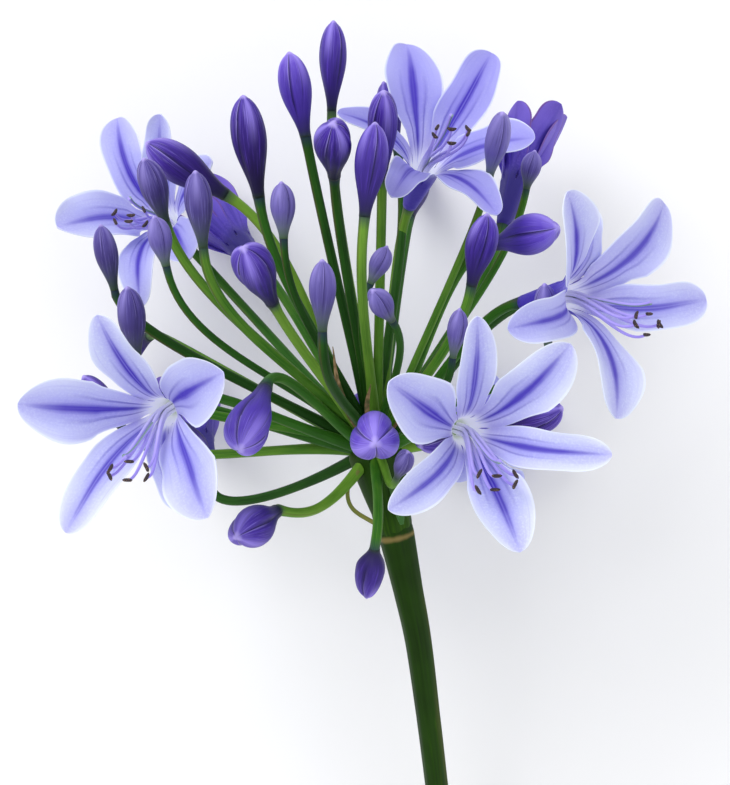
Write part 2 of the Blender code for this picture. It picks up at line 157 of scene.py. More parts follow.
def new_growth(name, choices):
    """A Geometry Nodes tree with inputs given as (name, kind), and those inputs as sockets."""
    tree = bpy.data.node_groups.new(name, "GeometryNodeTree")
    for choice, kind in choices:
        tree.interface.new_socket(choice, in_out="INPUT", socket_type="NodeSocket" + kind)
    tree.interface.new_socket("Grown", in_out="OUTPUT", socket_type="NodeSocketGeometry")
    return tree, add(tree, "NodeGroupInput").outputs


def end_growth(tree, geometry, material):
    """Ends a Geometry Nodes tree in real, coloured geometry."""
    real = add(tree, "GeometryNodeRealizeInstances", inputs={"Geometry": geometry})
    coloured = add(tree, "GeometryNodeSetMaterial", inputs={
        "Geometry": real.outputs["Geometry"], "Material": material})
    add(tree, "NodeGroupOutput", inputs={0: coloured.outputs["Geometry"]})


def grown_skin():
    """The node tree that draws a closed round skin along lines, with its own unrolled coordinates."""
    tree, given = new_growth("grown_skin", (
        ("Lines", "Geometry"), ("Sides", "Int"), ("Ribs", "Float"), ("Rib height", "Float"),
        ("Skin", "Material")))
    lines = add(tree, "GeometryNodeMeshToCurve", inputs={"Mesh": given["Lines"]})
    circle = add(tree, "GeometryNodeCurvePrimitiveCircle", inputs={
        "Resolution": given["Sides"], "Radius": 1.0})
    spot = add(tree, "GeometryNodeInputPosition")
    around = tree.nodes.new("GeometryNodeCaptureAttribute")
    around.capture_items.new("VECTOR", "around")
    tree.links.new(circle.outputs["Curve"], around.inputs["Geometry"])
    tree.links.new(spot.outputs["Position"], around.inputs[1])
    thick = add(tree, "GeometryNodeInputNamedAttribute", inputs={"Name": "thick"})
    skin = add(tree, "GeometryNodeCurveToMesh", inputs={
        "Curve": lines.outputs["Curve"], "Profile Curve": around.outputs["Geometry"],
        "Scale": thick.outputs["Attribute"], "Fill Caps": True})
    circle_spot = add(tree, "ShaderNodeSeparateXYZ", inputs={"Vector": around.outputs[1]})
    angle = add(tree, "ShaderNodeMath", {"operation": "ARCTAN2"},
                {0: circle_spot.outputs["Y"], 1: circle_spot.outputs["X"]})
    turns = add(tree, "ShaderNodeMath", {"operation": "MULTIPLY"},
                {0: angle.outputs[0], 1: given["Ribs"]})
    wave = add(tree, "ShaderNodeMath", {"operation": "COSINE"}, {0: turns.outputs[0]})
    height = add(tree, "ShaderNodeMath", {"operation": "MULTIPLY"},
                 {0: wave.outputs[0], 1: given["Rib height"]})
    normal = add(tree, "GeometryNodeInputNormal")
    rise = add(tree, "ShaderNodeVectorMath", {"operation": "SCALE"},
               {"Vector": normal.outputs["Normal"], "Scale": height.outputs[0]})
    ribbed = add(tree, "GeometryNodeSetPosition",
                 inputs={"Geometry": skin.outputs["Mesh"], "Offset": rise.outputs[0]})
    run = add(tree, "GeometryNodeInputNamedAttribute", inputs={"Name": "run"})
    unrolled = add(tree, "ShaderNodeCombineXYZ", inputs={
        "X": circle_spot.outputs["X"], "Y": circle_spot.outputs["Y"], "Z": run.outputs["Attribute"]})
    stored = add(tree, "GeometryNodeStoreNamedAttribute", {"data_type": "FLOAT_VECTOR"}, {
        "Geometry": ribbed.outputs["Geometry"], "Name": "unrolled", "Value": unrolled.outputs["Vector"]})
    rounded = add(tree, "GeometryNodeSetShadeSmooth", inputs={"Geometry": stored.outputs["Geometry"]})
    end_growth(tree, rounded.outputs["Geometry"], given["Skin"])
    return tree


def plain_result(name, mesh, tree, choices):
    """The plain mesh object that a node tree makes of a mesh, with the tree's inputs chosen by name."""
    maker = placed(name + "_maker", mesh)
    modifier = maker.modifiers.new("grown", "NODES")
    modifier.node_group = tree
    for item in tree.interface.items_tree:
        if item.item_type == "SOCKET" and item.in_out == "INPUT" and item.name in choices:
            modifier[item.identifier] = choices[item.name]
    evaluated = maker.evaluated_get(bpy.context.evaluated_depsgraph_get())
    result = bpy.data.meshes.new_from_object(evaluated)
    maker.modifiers.clear()
    bpy.data.objects.remove(maker, do_unlink=True)
    return placed(name, result)


def new_material(name, roughness=0.5, ior=1.5):
    """A new material, its node tree and its shader."""
    material = bpy.data.materials.new(name)
    material.use_nodes = True
    shader = material.node_tree.nodes["Principled BSDF"]
    shader.inputs["Roughness"].default_value = roughness
    shader.inputs["IOR"].default_value = ior
    return material, material.node_tree, shader


def layered(tree, colour, layers):
    """A colour with others laid over it in turn, each as (strength, share of that strength, hex code)."""
    for strength, share, code in layers:
        amount = add(tree, "ShaderNodeMath", {"operation": "MULTIPLY"}, {0: strength, 1: share})
        colour = add(tree, "ShaderNodeMix", {"data_type": "RGBA"}, {
            0: amount.outputs[0], 6: colour, 7: linear(code)}).outputs[2]
    return colour


def surfaced(tree, shader, colour, relief, grain, gloss, dulling):
    """Gives a shader its colour, its relief as (height, strength, depth), and gloss dulled by a grain."""
    height, strength, depth = relief
    bump = add(tree, "ShaderNodeBump", inputs={
        "Strength": strength, "Distance": depth * MM, "Height": height})
    dull = add(tree, "ShaderNodeMapRange", inputs={
        "Value": grain, "From Min": 0.3, "From Max": 0.7, "To Min": gloss, "To Max": gloss + dulling})
    tree.links.new(colour, shader.inputs["Base Color"])
    tree.links.new(bump.outputs["Normal"], shader.inputs["Normal"])
    tree.links.new(dull.outputs["Result"], shader.inputs["Roughness"])


def green_skin(name, shades, gloss, violet_neck=False, scar_at=None):
    """Waxy green plant skin with fine lines along it, and a reddish blush where it is sunlit.

    shades are its dark, usual, light and blush colours as hex codes. scar_at is how far along it
    the dry tan scar lies that the fallen bracts leave."""
    material, tree, shader = new_material(name, ior=1.42)
    unrolled = add(tree, "ShaderNodeAttribute", {"attribute_name": "unrolled"}).outputs["Vector"]
    tone = add(tree, "ShaderNodeAttribute", {"attribute_name": "tone"})
    # The lines lie about half a millimetre apart round the stem, and each runs for about 25 mm
    lines_at = add(tree, "ShaderNodeMapping", inputs={"Vector": unrolled, "Scale": (3.0, 3.0, 18.0)})
    lines = add(tree, "ShaderNodeTexNoise", inputs={
        "Vector": lines_at.outputs["Vector"], "Scale": 2.2, "Detail": 3.0, "Roughness": 0.6}).outputs["Fac"]
    clouds_at = add(tree, "ShaderNodeMapping", inputs={"Vector": unrolled, "Scale": (0.5, 0.5, 60.0)})
    clouds = add(tree, "ShaderNodeTexNoise", inputs={
        "Vector": clouds_at.outputs["Vector"], "Scale": 1.3, "Detail": 2.0}).outputs["Fac"]
    lined = tone.outputs["Fac"]
    for pattern in (clouds, lines):
        lined = add(tree, "ShaderNodeMath", {"operation": "MULTIPLY_ADD"},
                    {0: pattern, 1: 0.5, 2: lined}).outputs[0]
    shade = add(tree, "ShaderNodeValToRGB", inputs={"Fac": lined}, stops=(
        (0.25, shades[0]), (0.6, shades[1]), (1.0, shades[2])))
    blush_at = add(tree, "ShaderNodeMapping", inputs={
        "Vector": unrolled, "Location": (4.0, 1.0, 0.0), "Scale": (0.9, 0.9, 14.0)})
    patches = add(tree, "ShaderNodeTexNoise", inputs={
        "Vector": blush_at.outputs["Vector"], "Scale": 1.0}).outputs["Fac"]
    blush = add(tree, "ShaderNodeMapRange", inputs={"Value": patches, "From Min": 0.6, "From Max": 0.75})
    layers = [(blush.outputs["Result"], 0.5, shades[3])]
    if violet_neck:
        to_neck = add(tree, "ShaderNodeAttribute", {"attribute_name": "to_neck"})
        near = add(tree, "ShaderNodeMapRange", inputs={
            "Value": to_neck.outputs["Fac"], "From Min": NECK_TINT_LENGTH * MM, "From Max": 0.0})
        layers.append((near.outputs["Result"], 0.75, "#26264c"))
    if scar_at is not None:
        run = add(tree, "ShaderNodeAttribute", {"attribute_name": "run"})
        offset = add(tree, "ShaderNodeMath", {"operation": "SUBTRACT"},
                     {0: run.outputs["Fac"], 1: scar_at * MM})
        distance = add(tree, "ShaderNodeMath", {"operation": "ABSOLUTE"}, {0: offset.outputs[0]})
        ragged = add(tree, "ShaderNodeMath", {"operation": "MULTIPLY_ADD"}, {
            0: patches, 1: 2 * SCAR_HALF_WIDTH * MM, 2: distance.outputs[0]})
        scar = add(tree, "ShaderNodeMapRange", {"interpolation_type": "SMOOTHSTEP"}, {
            "Value": ragged.outputs[0], "From Min": SCAR_HALF_WIDTH * MM,
            "From Max": 2 * SCAR_HALF_WIDTH * MM, "To Min": 1.0, "To Max": 0.0})
        layers.append((scar.outputs["Result"], 0.8, "#8c7a48"))
    colour = layered(tree, shade.outputs["Color"], layers)
    surfaced(tree, shader, colour, (lines, 0.25, 0.2), lines, gloss, 0.12)
    shader.inputs["Specular IOR Level"].default_value = 0.15
    return material


def run_radii(path, radii):
    """A radius for each point of a smooth path, from those at the points that it was drawn through."""
    places = [index / STEPS_BETWEEN_POINTS for index in range(len(path))]
    return [float(radius) for radius in np.interp(places, range(len(radii)), radii)]


skin_tree = grown_skin()
# Waxy epidermis over green tissue: dark, with a soft shine along the light side
stem_skin = green_skin(
    "waxy_stem_skin", ("#0e2300", "#1d3d00", "#406604", "#4a5206"), 0.45, scar_at=SCAR_AT)
scape_path = smooth_path(SCAPE_PATH)
scape_run = (scape_path, run_radii(scape_path, SCAPE_RADII), 0.0)
scape = plain_result("cut_stem", path_mesh("cut_stem", [scape_run]), skin_tree, {
    "Sides": SCAPE_SIDES, "Ribs": SCAPE_RIBS, "Rib height": SCAPE_RIB_HEIGHT * MM, "Skin": stem_skin})
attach(scape, "root")
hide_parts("scape")


# Cut face of the stem
# Where the knife went through, pale wet pith shows inside a thin green rim.
# It is a shallow dish, because the soft middle draws back as it dries.

# The face's rings as radius and height over the stem's end, from the seat in the stem to the middle
CUT_RINGS = ((3.27, -0.3), (3.27, 0.06), (3.0, 0.16), (2.7, 0.08), (1.6, -0.06), (0.8, -0.14))


def tube_faces(rings, sides):
    """The foot and the end of a closed tube, and the quads between its rings of points."""
    faces = [tuple(range(sides))[::-1], tuple(range((rings - 1) * sides, rings * sides))]
    for ring in range(rings - 1):
        for step in range(sides):
            start = ring * sides
            beside = start + (step + 1) % sides
            faces.append((start + step, beside, beside + sides, start + step + sides))
    return faces


def joined_mesh(name, solids, material):
    """One smooth mesh in metres from solids given as (points, faces)."""
    points = []
    faces = []
    for solid_points, solid_faces in solids:
        start = len(points)
        points += [(RECEPTACLE + point) * MM for point in solid_points]
        faces += [tuple(start + corner for corner in face) for face in solid_faces]
    mesh = bpy.data.meshes.new(name)
    mesh.from_pydata(points, [], faces)
    mesh.materials.append(material)
    mesh.shade_smooth()
    work = bmesh.new()
    work.from_mesh(mesh)
    bmesh.ops.recalc_face_normals(work, faces=work.faces[:])
    work.to_mesh(mesh)
    work.free()
    return mesh


# Freshly cut pith: pale, wet and slightly glossy, with darker veins near the rim
pith, tree, shader = new_material("wet_pith", roughness=0.3)
middle = add(tree, "ShaderNodeAttribute", {"attribute_name": "from_middle"})
rings = add(tree, "ShaderNodeValToRGB", inputs={"Fac": middle.outputs["Fac"]}, stops=(
    (0.0, "#cfd8a8"), (0.6, "#bccb8d"), (0.85, "#7f9d4c"), (0.97, "#35591c")))
place = add(tree, "ShaderNodeTexCoord")
veins = add(tree, "ShaderNodeTexVoronoi", inputs={"Vector": place.outputs["Object"], "Scale": 1900.0})
spots = add(tree, "ShaderNodeMapRange", inputs={
    "Value": veins.outputs["Distance"], "From Min": 0.1, "From Max": 0.3, "To Min": 0.45, "To Max": 0.0})
spotted = layered(tree, rings.outputs["Color"], ((spots.outputs["Result"], 1.0, "#7c8f4e"),))
tree.links.new(spotted, shader.inputs["Base Color"])

cut_end = scape_path[-1]
cut_out = (cut_end - scape_path[-2]).normalized()
cut_side = cut_out.orthogonal().normalized()
cut_across = cut_out.cross(cut_side)
cut_points = []
distances = []
for radius, height in CUT_RINGS:
    for step in range(SCAPE_SIDES):
        angle = math.tau * step / SCAPE_SIDES
        outward = cut_side * math.cos(angle) + cut_across * math.sin(angle)
        cut_points.append(cut_end + cut_out * height + outward * radius)
        distances.append(radius / CUT_RINGS[0][0])
cut_mesh = joined_mesh("cut_face", [(cut_points, tube_faces(len(CUT_RINGS), SCAPE_SIDES))], pith)
cut_mesh.attributes.new("from_middle", "FLOAT", "POINT").data.foreach_set("value", distances)
cut_face = placed("cut_face", cut_mesh)
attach(cut_face, "root")
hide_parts("scape")


# Receptacle and flower stalks
# The stalks spring from one knob at the stem's top, crowded at their roots, and swell into each neck.
# They are smooth and green, some yellower and some bluer, a few with a reddish side.
NECK_PATH = ((4.9, -21.0, -2.0), (3.6, -15.0, -0.8), (1.8, -8.0, -0.3), (0.4, -1.0, 0.0), (0.0, 5.0, 0.4))
NECK_RADII = (4.9, 5.0, 6.2, 7.6, 5.2)
KNOB_TUCK = 0.6
KNOB_TUCK_STEPS = 1.6
KNOB_RIB_HEIGHT = 0.05
STALK_ROOT = 3.5
STALK_SIDES = 14
STALK_RIBS = 5.0
STALK_RIB_HEIGHT = 0.03
STALK_STEPS = 26
STALK_RADIUS = 1.25
YOUNG_STALK_RADIUS = 0.95
FLOWER_NECK_RADIUS = 1.85
NECK_SHARE = 0.17
ROOT_SWELL = 0.35
ROOT_SWELL_LENGTH = 22.0
NECK_SWELL_LENGTH = 5.0
LOWEST_START = -0.35
STRAIGHT_END = 1.5
NECK_OVERLAP = 0.1
LEAVING_SHARE = 0.4
ARRIVING_SHARE = 0.3
STALK_BENDS = {
    "bud_21": ((-12.0, -15.0, 12.0), (-17.0, -16.0, 20.0)),
    "bud_13": ((-30.0, 17.0, 8.0), (-61.0, 29.0, 11.0)),
    "bud_27": ((10.0, 14.0, 14.0), (36.0, 14.0, 26.0)),
    "bud_36": ((-28.0, 14.0, 0.0), (-55.0, 30.0, -20.0)),
    "bloom_7": ((-22.0, -12.0, -12.0), (-47.0, -20.0, -28.0)),
}

# Buds, as name, neck, tip, greatest width, place of the belly, paleness and turn
BUDS = (
    ("bud_01", (-11.5, 88.0, 5.0), (-11.0, 110.5, 8.0), 7.2, 0.62, 0.42, 20),
    ("bud_02", (-18.0, 80.5, 14.0), (-22.0, 101.0, 18.0), 8.4, 0.62, 0.75, 200),
    ("bud_03", (-29.5, 64.5, 22.0), (-33.0, 88.5, 30.0), 9.0, 0.62, 0.0, 100),
    ("bud_04", (-10.5, 69.0, 30.0), (-10.5, 79.5, 50.0), 9.5, 0.66, 0.02, 60),
    ("bud_05", (-3.0, 58.0, 42.0), (-0.5, 80.0, 46.0), 8.2, 0.62, 0.38, 45),
    ("bud_06", (1.4, 69.5, 20.0), (1.6, 88.0, 43.0), 7.6, 0.66, 0.28, 320),
    ("bud_07", (-23.0, 53.5, 30.0), (-23.5, 67.0, 32.0), 6.4, 0.6, 0.8, 15),
    ("bud_08", (-25.5, 37.5, 38.0), (-31.5, 49.5, 56.0), 10.1, 0.66, 0.2, 80),
    ("bud_09", (-38.5, 66.0, 10.0), (-58.0, 78.5, 16.0), 10.0, 0.62, 0.18, 10),
    ("bud_10", (-53.0, 58.5, 22.0), (-57.5, 73.0, 30.0), 7.4, 0.6, 0.1, 140),
    ("bud_11", (-43.0, 51.5, 28.0), (-44.5, 69.5, 34.0), 7.1, 0.62, 0.3, 0),
    ("bud_12", (-51.5, 46.5, 36.0), (-54.0, 58.0, 40.0), 6.1, 0.6, 0.72, 30),
    ("bud_13", (-66.5, 41.5, 14.0), (-69.5, 57.5, 18.0), 6.1, 0.6, 0.1, 75),
    ("bud_14", (-60.5, 24.0, 18.0), (-62.0, 41.5, 26.0), 7.3, 0.62, 0.15, 25),
    ("bud_15", (-13.0, 30.0, 52.0), (-13.0, 46.5, 56.0), 6.6, 0.62, 0.48, 170),
    ("bud_16", (-1.5, 43.0, 18.0), (2.5, 52.0, 20.0), 5.5, 0.6, 0.85, 50),
    ("bud_17", (3.5, 33.0, 44.0), (-1.0, 39.5, 54.0), 6.0, 0.62, 0.66, 110),
    ("bud_18", (18.5, 24.0, 38.0), (20.0, 35.5, 42.0), 5.1, 0.6, 0.7, 20),
    ("bud_19", (-27.0, 16.5, 44.0), (-32.0, 2.5, 64.0), 10.9, 0.66, 0.75, 200),
    ("bud_20", (-1.0, 7.5, 50.0), (-0.5, 4.0, 74.0), 11.7, 0.66, 0.75, 150),
    ("bud_21", (-25.0, -14.0, 28.0), (-33.5, -19.0, 48.0), 10.2, 0.62, 0.36, 160),
    ("bud_22", (-0.5, -22.5, 36.0), (-2.5, -35.0, 30.0), 7.6, 0.4, 0.26, 0),
    ("bud_23", (23.5, 42.0, 28.0), (27.0, 59.0, 34.0), 8.1, 0.62, 0.34, 45),
    ("bud_24", (30.5, 53.5, 10.0), (45.0, 56.5, 24.0), 10.6, 0.6, 0.95, 100),
    ("bud_25", (28.4, 70.0, 20.0), (30.4, 83.0, 42.0), 6.2, 0.6, 0.85, 25),
    ("bud_26", (39.5, 69.0, -6.0), (41.5, 78.5, -4.0), 5.5, 0.6, 0.5, 75),
    ("bud_27", (42.0, 27.0, 34.0), (40.5, 41.5, 42.0), 6.0, 0.62, 0.6, 15),
    ("bud_28", (32.0, 6.0, 6.0), (47.0, 11.5, 14.0), 9.2, 0.6, 0.15, 45),
    ("bud_29", (20.5, 8.5, 6.0), (11.0, 2.0, 18.0), 8.0, 0.6, 0.05, 60),
    ("bud_30", (5.0, -5.5, 30.0), (7.5, 1.0, 38.0), 4.9, 0.6, 0.2, 20),
    ("bud_31", (-66.5, 7.0, 0.0), (-75.0, 19.5, 8.0), 7.2, 0.6, 0.32, 80),
    ("bud_32", (-50.5, 8.5, 14.0), (-43.0, -3.0, 24.0), 8.1, 0.62, 0.1, 130),
    ("bud_33", (5.5, 80.0, -12.0), (2.0, 97.0, -8.0), 6.3, 0.6, 0.32, 20),
    ("bud_34", (9.5, 64.0, -43.0), (12.9, 80.6, -61.4), 8.4, 0.62, 0.3, 20),
    ("bud_35", (45.5, 41.0, -38.0), (66.0, 45.0, -50.0), 8.8, 0.62, 0.4, 75),
    ("bud_36", (-61.5, 31.0, -30.0), (-74.5, 24.0, -46.0), 8.4, 0.62, 0.35, 120),
    ("bud_37", (9.0, 11.0, -33.0), (12.0, 16.0, -55.0), 8.0, 0.62, 0.3, 10),
    ("bud_38", (-2.0, 8.0, -34.0), (-4.0, 13.0, -55.0), 8.4, 0.62, 0.42, 95),
)
# Ripe in size but still greyish, as the youngest are
DULL_BUDS = ("bud_10", "bud_11", "bud_13", "bud_14", "bud_15")
YOUNG_BUDS = ("bud_07", "bud_12", "bud_16", "bud_17", "bud_18", "bud_25", "bud_26", "bud_27", "bud_30")

# Flowers, as name, middle of the mouth, axis, and six tepals.
# Each tepal is its bearing round the axis, the angle that its end leans out, its length and its width.
BLOOMS = (
    ("bloom_1", (-50.5, 11.0, 52.0), (-0.27, -0.21, 0.94),
     ((29, 70, 36, 15.5), (103, 70, 36, 11), (166, 57, 37, 15.5),
      (243, 74, 37, 10.5), (292, 125, 24, 9), (304, 65, 36, 15.5))),
    ("bloom_2", (20.5, 6.5, 62.0), (0.24, -0.07, 0.97),
     ((57, 67, 36, 13.5), (100, 67, 37, 9), (147, 70, 36, 15),
      (207, 73, 36, 10), (281, 57, 36, 13.5), (358, 67, 36, 9.5))),
    ("bloom_3", (12.0, 72.5, 4.0), (0.22, 0.55, 0.80),
     ((91, 110, 36, 14.5), (180, 81, 31, 8.5), (243, 84, 33, 9.5),
      (292, 84, 36, 11), (342, 60, 32, 13.5), (63, 97, 37, 12))),
    ("bloom_4", (46.0, 39.0, 34.0), (0.68, 0.08, 0.72),
     ((52, 104, 36, 14), (98, 100, 23, 10), (127, 81, 36, 15),
      (192, 118, 34, 11), (255, 88, 37, 17), (10, 83, 36, 12))),
    ("bloom_5", (-56.5, 61.5, -26.0), (-0.27, 0.32, 0.91),
     ((8, 51, 34, 12), (66, 43, 33, 10), (105, 112, 33, 11),
      (221, 50, 35, 16.5), (283, 90, 37, 10), (305, 68, 35, 12))),
    ("bloom_6", (38.0, 73.0, -27.0), (0.26, 0.90, -0.35),
     ((340, 13, 23.5, 12), (28, 12, 22, 11), (105, 12, 22, 13),
      (160, 13, 19, 11), (200, 12, 21, 12), (311, 16, 23.5, 12.5))),
    ("bloom_7", (-48.5, 2.0, -37.7), (-0.25, 0.60, -0.76),
     ((10, 14, 25, 9.5), (70, 10, 24, 9.5), (130, 12, 25, 9.5),
      (190, 10, 24, 9.5), (250, 12, 25, 9.5), (310, 14, 24, 9.5))),
    ("bloom_8", (27.0, 3.0, -30.0), (0.30, 0.0, -0.95),
     ((20, 38, 32, 13), (80, 42, 31, 10), (140, 36, 32, 13),
      (200, 42, 31, 10), (260, 38, 32, 13), (320, 42, 31, 10))),
    ("bloom_9", (-37.5, 56.5, -37.4), (-0.45, 0.50, -0.74),
     ((0, 16, 25, 9.5), (60, 12, 24, 9.5), (120, 16, 25, 9.5),
      (180, 12, 24, 9.5), (240, 14, 25, 9.5), (300, 12, 24, 9.5))),
)
TUBE_LENGTH = 14.0


def bezier(start, leave, arrive, end, steps):
    """Points along a cubic curve with its two handles."""
    curve = []
    for step in range(steps + 1):
        t = step / steps
        u = 1.0 - t
        curve.append(start * u ** 3 + leave * (3 * u * u * t) + arrive * (3 * u * t * t) + end * t ** 3)
    return curve


def stalk_run(name, neck, axis, radius, neck_radius, tone):
    """A flower stalk from inside the receptacle up to a neck, as points, radii and tone."""
    heading = neck.normalized()
    heading.y = max(heading.y, LOWEST_START)
    heading.normalize()
    start = heading * STALK_ROOT
    end = neck + axis * NECK_OVERLAP
    bend_end = neck - axis * STRAIGHT_END
    reach = (end - start).length
    leave = start + heading * reach * LEAVING_SHARE
    arrive = end - axis * reach * ARRIVING_SHARE
    if name in STALK_BENDS:
        leave = Vector(STALK_BENDS[name][0])
        arrive = Vector(STALK_BENDS[name][1])
    path = bezier(start, leave, arrive, bend_end, STALK_STEPS) + [(bend_end + end) / 2, end]
    radii = []
    for point in path:
        from_root = min(1.0, (point - start).length / ROOT_SWELL_LENGTH)
        to_neck = max(0.0, 1.0 - (end - point).length / NECK_SWELL_LENGTH)
        middle_radius = radius * (1.0 + ROOT_SWELL * (1.0 - from_root))
        radii.append(middle_radius + (neck_radius - middle_radius) * to_neck ** 1.6)
    return path, radii, tone


stalk_random = random.Random(11)
stalk_runs = []
for name, mouth, axis, tepals in BLOOMS:
    axis = Vector(axis).normalized()
    neck = Vector(mouth) - axis * TUBE_LENGTH
    tone = stalk_random.uniform(-0.3, 0.4)
    stalk_runs.append(stalk_run(name, neck, axis, STALK_RADIUS, FLOWER_NECK_RADIUS, tone))
for name, neck, tip, width, belly, paleness, turn in BUDS:
    radius = YOUNG_STALK_RADIUS if name in YOUNG_BUDS else STALK_RADIUS
    axis = (Vector(tip) - Vector(neck)).normalized()
    tone = stalk_random.uniform(-0.25, 0.5)
    stalk_runs.append(stalk_run(name, Vector(neck), axis, radius, width * NECK_SHARE, tone))

# Young epidermis: brighter and more yellow than the stem's, with the colour of the flower near each neck
stalk_skin = green_skin(
    "waxy_stalk_skin", ("#1b4210", "#33691c", "#74a036", "#665632"), 0.42, violet_neck=True)
stalks = plain_result("flower_stalks", path_mesh("flower_stalks", stalk_runs), skin_tree, {
    "Sides": STALK_SIDES, "Ribs": STALK_RIBS, "Rib height": STALK_RIB_HEIGHT * MM, "Skin": stalk_skin})
# The receptacle has the stem's skin, and it is drawn in where it meets the scar ring
knob_skin = green_skin("waxy_receptacle_skin", ("#0e2300", "#1d3d00", "#426c08", "#5a5a1c"), 0.45)
knob_path = smooth_path(NECK_PATH)
knob_radii = [
    radius - KNOB_TUCK * math.exp(-(index / KNOB_TUCK_STEPS) ** 2)
    for index, radius in enumerate(run_radii(knob_path, NECK_RADII))
]
knob = plain_result("receptacle", path_mesh("receptacle", [(knob_path, knob_radii, 0.1)]), skin_tree, {
    "Sides": SCAPE_SIDES, "Ribs": SCAPE_RIBS, "Rib height": KNOB_RIB_HEIGHT * MM, "Skin": knob_skin})
for piece in (stalks, knob):
    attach(piece, "root")
    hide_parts("umbel_stalks")


# Withered remains
# Thin dry bracts stand between the stalks, where they dropped back as the head opened.
# A thread and a short stub at the receptacle are stalks whose buds never grew.
BRACTS = (
    ((-2.0, 4.0, 10.0), (-7.5, 12.0, 19.0), (-10.5, 21.5, 23.5)),
    ((0.0, 4.0, 10.0), (-2.5, 11.5, 22.0), (-1.5, 17.5, 28.0)),
    ((-3.0, 4.0, 10.0), (-9.0, 14.0, 16.0), (-11.0, 27.0, 20.0)),
    ((3.0, 4.0, 9.0), (8.0, 12.0, 18.0), (11.0, 21.0, 21.0)),
)
BRACT_WIDTH = 0.85
BRACT_FOOT_WIDTH = 0.12
BRACT_THICKNESS = 0.16
BRACT_CURL = 0.6
BRACT_CURL_ANGLE = 5.0
BRACT_FACING = Vector((0.3, 0.2, 1.0))
BRACT_SIDES = 10
THREAD_PATH = ((0.4, -18.6, 6.5), (-6.0, -14.5, 6.0), (-7.3, -9.5, 7.0), (-4.5, -4.5, 7.0))
THREAD_RADIUS = 0.6
THREAD_TAPER = 0.15
STUB_PATH = ((4.2, -8.0, 5.0), (5.6, -13.4, 6.6), (6.6, -18.4, 7.2))
STUB_RADIUS = 1.25
STUB_LEAST_ROUNDING = 0.15


def mottled(name, scale, detail, stops, roughness, wrinkle=0.0):
    """A material in soft patches of a few colours, given as ramp stops, with wrinkles of their pattern."""
    material, tree, shader = new_material(name, roughness)
    place = add(tree, "ShaderNodeTexCoord")
    patches = add(tree, "ShaderNodeTexNoise", inputs={
        "Vector": place.outputs["Object"], "Scale": scale, "Detail": detail}).outputs["Fac"]
    colours = add(tree, "ShaderNodeValToRGB", inputs={"Fac": patches}, stops=stops)
    tree.links.new(colours.outputs["Color"], shader.inputs["Base Color"])
    if wrinkle:
        bump = add(tree, "ShaderNodeBump", inputs={
            "Strength": wrinkle, "Distance": 0.2 * MM, "Height": patches})
        tree.links.new(bump.outputs["Normal"], shader.inputs["Normal"])
    return material


solids = []
for number, points in enumerate(BRACTS):
    path = smooth_path(points)
    rim = []
    for index, point in enumerate(path):
        before = path[max(0, index - 1)]
        after = path[min(len(path) - 1, index + 1)]
        along = (after - before).normalized()
        flat = along.cross(BRACT_FACING).normalized()
        thin = along.cross(flat)
        share = index / (len(path) - 1)
        swelling = math.sin(math.pi * min(1.0, 0.25 + 0.75 * share))
        width = BRACT_WIDTH * (BRACT_FOOT_WIDTH + (1.0 - BRACT_FOOT_WIDTH) * swelling)
        curl = math.sin(BRACT_CURL_ANGLE * share + number) * BRACT_CURL
        for step in range(BRACT_SIDES):
            angle = math.tau * step / BRACT_SIDES
            over = math.cos(angle) * width
            lift = math.sin(angle) * BRACT_THICKNESS + curl * (over / BRACT_WIDTH) ** 2
            rim.append(point + flat * over + thin * lift)
    solids.append((rim, tube_faces(len(path), BRACT_SIDES)))

# Papery dry bract: brown and tan in patches 2 mm wide, and quite dull
papery = mottled("papery_bract", 500.0, 3.0, ((0.35, "#4c5020"), (0.5, "#79603c"), (0.7, "#a3885e")), 0.8)
bracts = placed("dry_bracts", joined_mesh("dry_bracts", solids, papery))
# Withered stalk: olive turning to tan, dull
withered_skin = green_skin("withered_skin", ("#3f6a34", "#83813c", "#a3945a", "#9c8450"), 0.6)
thread_path = smooth_path(THREAD_PATH)
thread_steps = len(thread_path)
thread_radii = [THREAD_RADIUS - THREAD_TAPER * index / thread_steps for index in range(thread_steps)]
stub_path = smooth_path(STUB_PATH)
stub_radii = []
for index in range(len(stub_path)):
    rounding = 1.0 - (index / (len(stub_path) - 1)) ** 5
    stub_radii.append(STUB_RADIUS * max(STUB_LEAST_ROUNDING, rounding) ** 0.5)
remains = [(thread_path, thread_radii, 0.0), (stub_path, stub_radii, -0.3)]
thread = plain_result("withered_thread", path_mesh("withered_thread", remains), skin_tree, {
    "Sides": STALK_SIDES, "Rib height": 0.0, "Skin": withered_skin})
for piece in (bracts, thread):
    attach(piece, "root")
    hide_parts("umbel_stalks")


# Buds
# Closed flowers, each a club of three outer petals whose edges meet in three seams.
# Their skin is waxy violet, darkest at the neck, streaked, and palest where the petal tips meet, with
# painted shade in the seams and a painted highlight along each lobe.
BUD_SIDES = 60
BUD_RINGS = 36
RING_CROWDING = 1.15
CLUB_POWER = 0.92
TIP_POWERS = (2.15, 0.54)
# A bud this slim, as width over length, has the least lobes, and one this much fuller has its full share
SLIM_BUD = 0.3
FULLER_BY = 0.12
LEAST_PLUMP = 0.3
MOST_PLUMP = 1.4
SEAM_WIDTH = 0.18
SEAM_DEPTH = 0.07
OVERLAP_STEP = 0.05
BELLY_LOBES = 0.08
TIP_LOBES = 0.2
TIP_NUB = 0.5
NUB_FROM = 0.985
SEAM_TWIST = 0.35


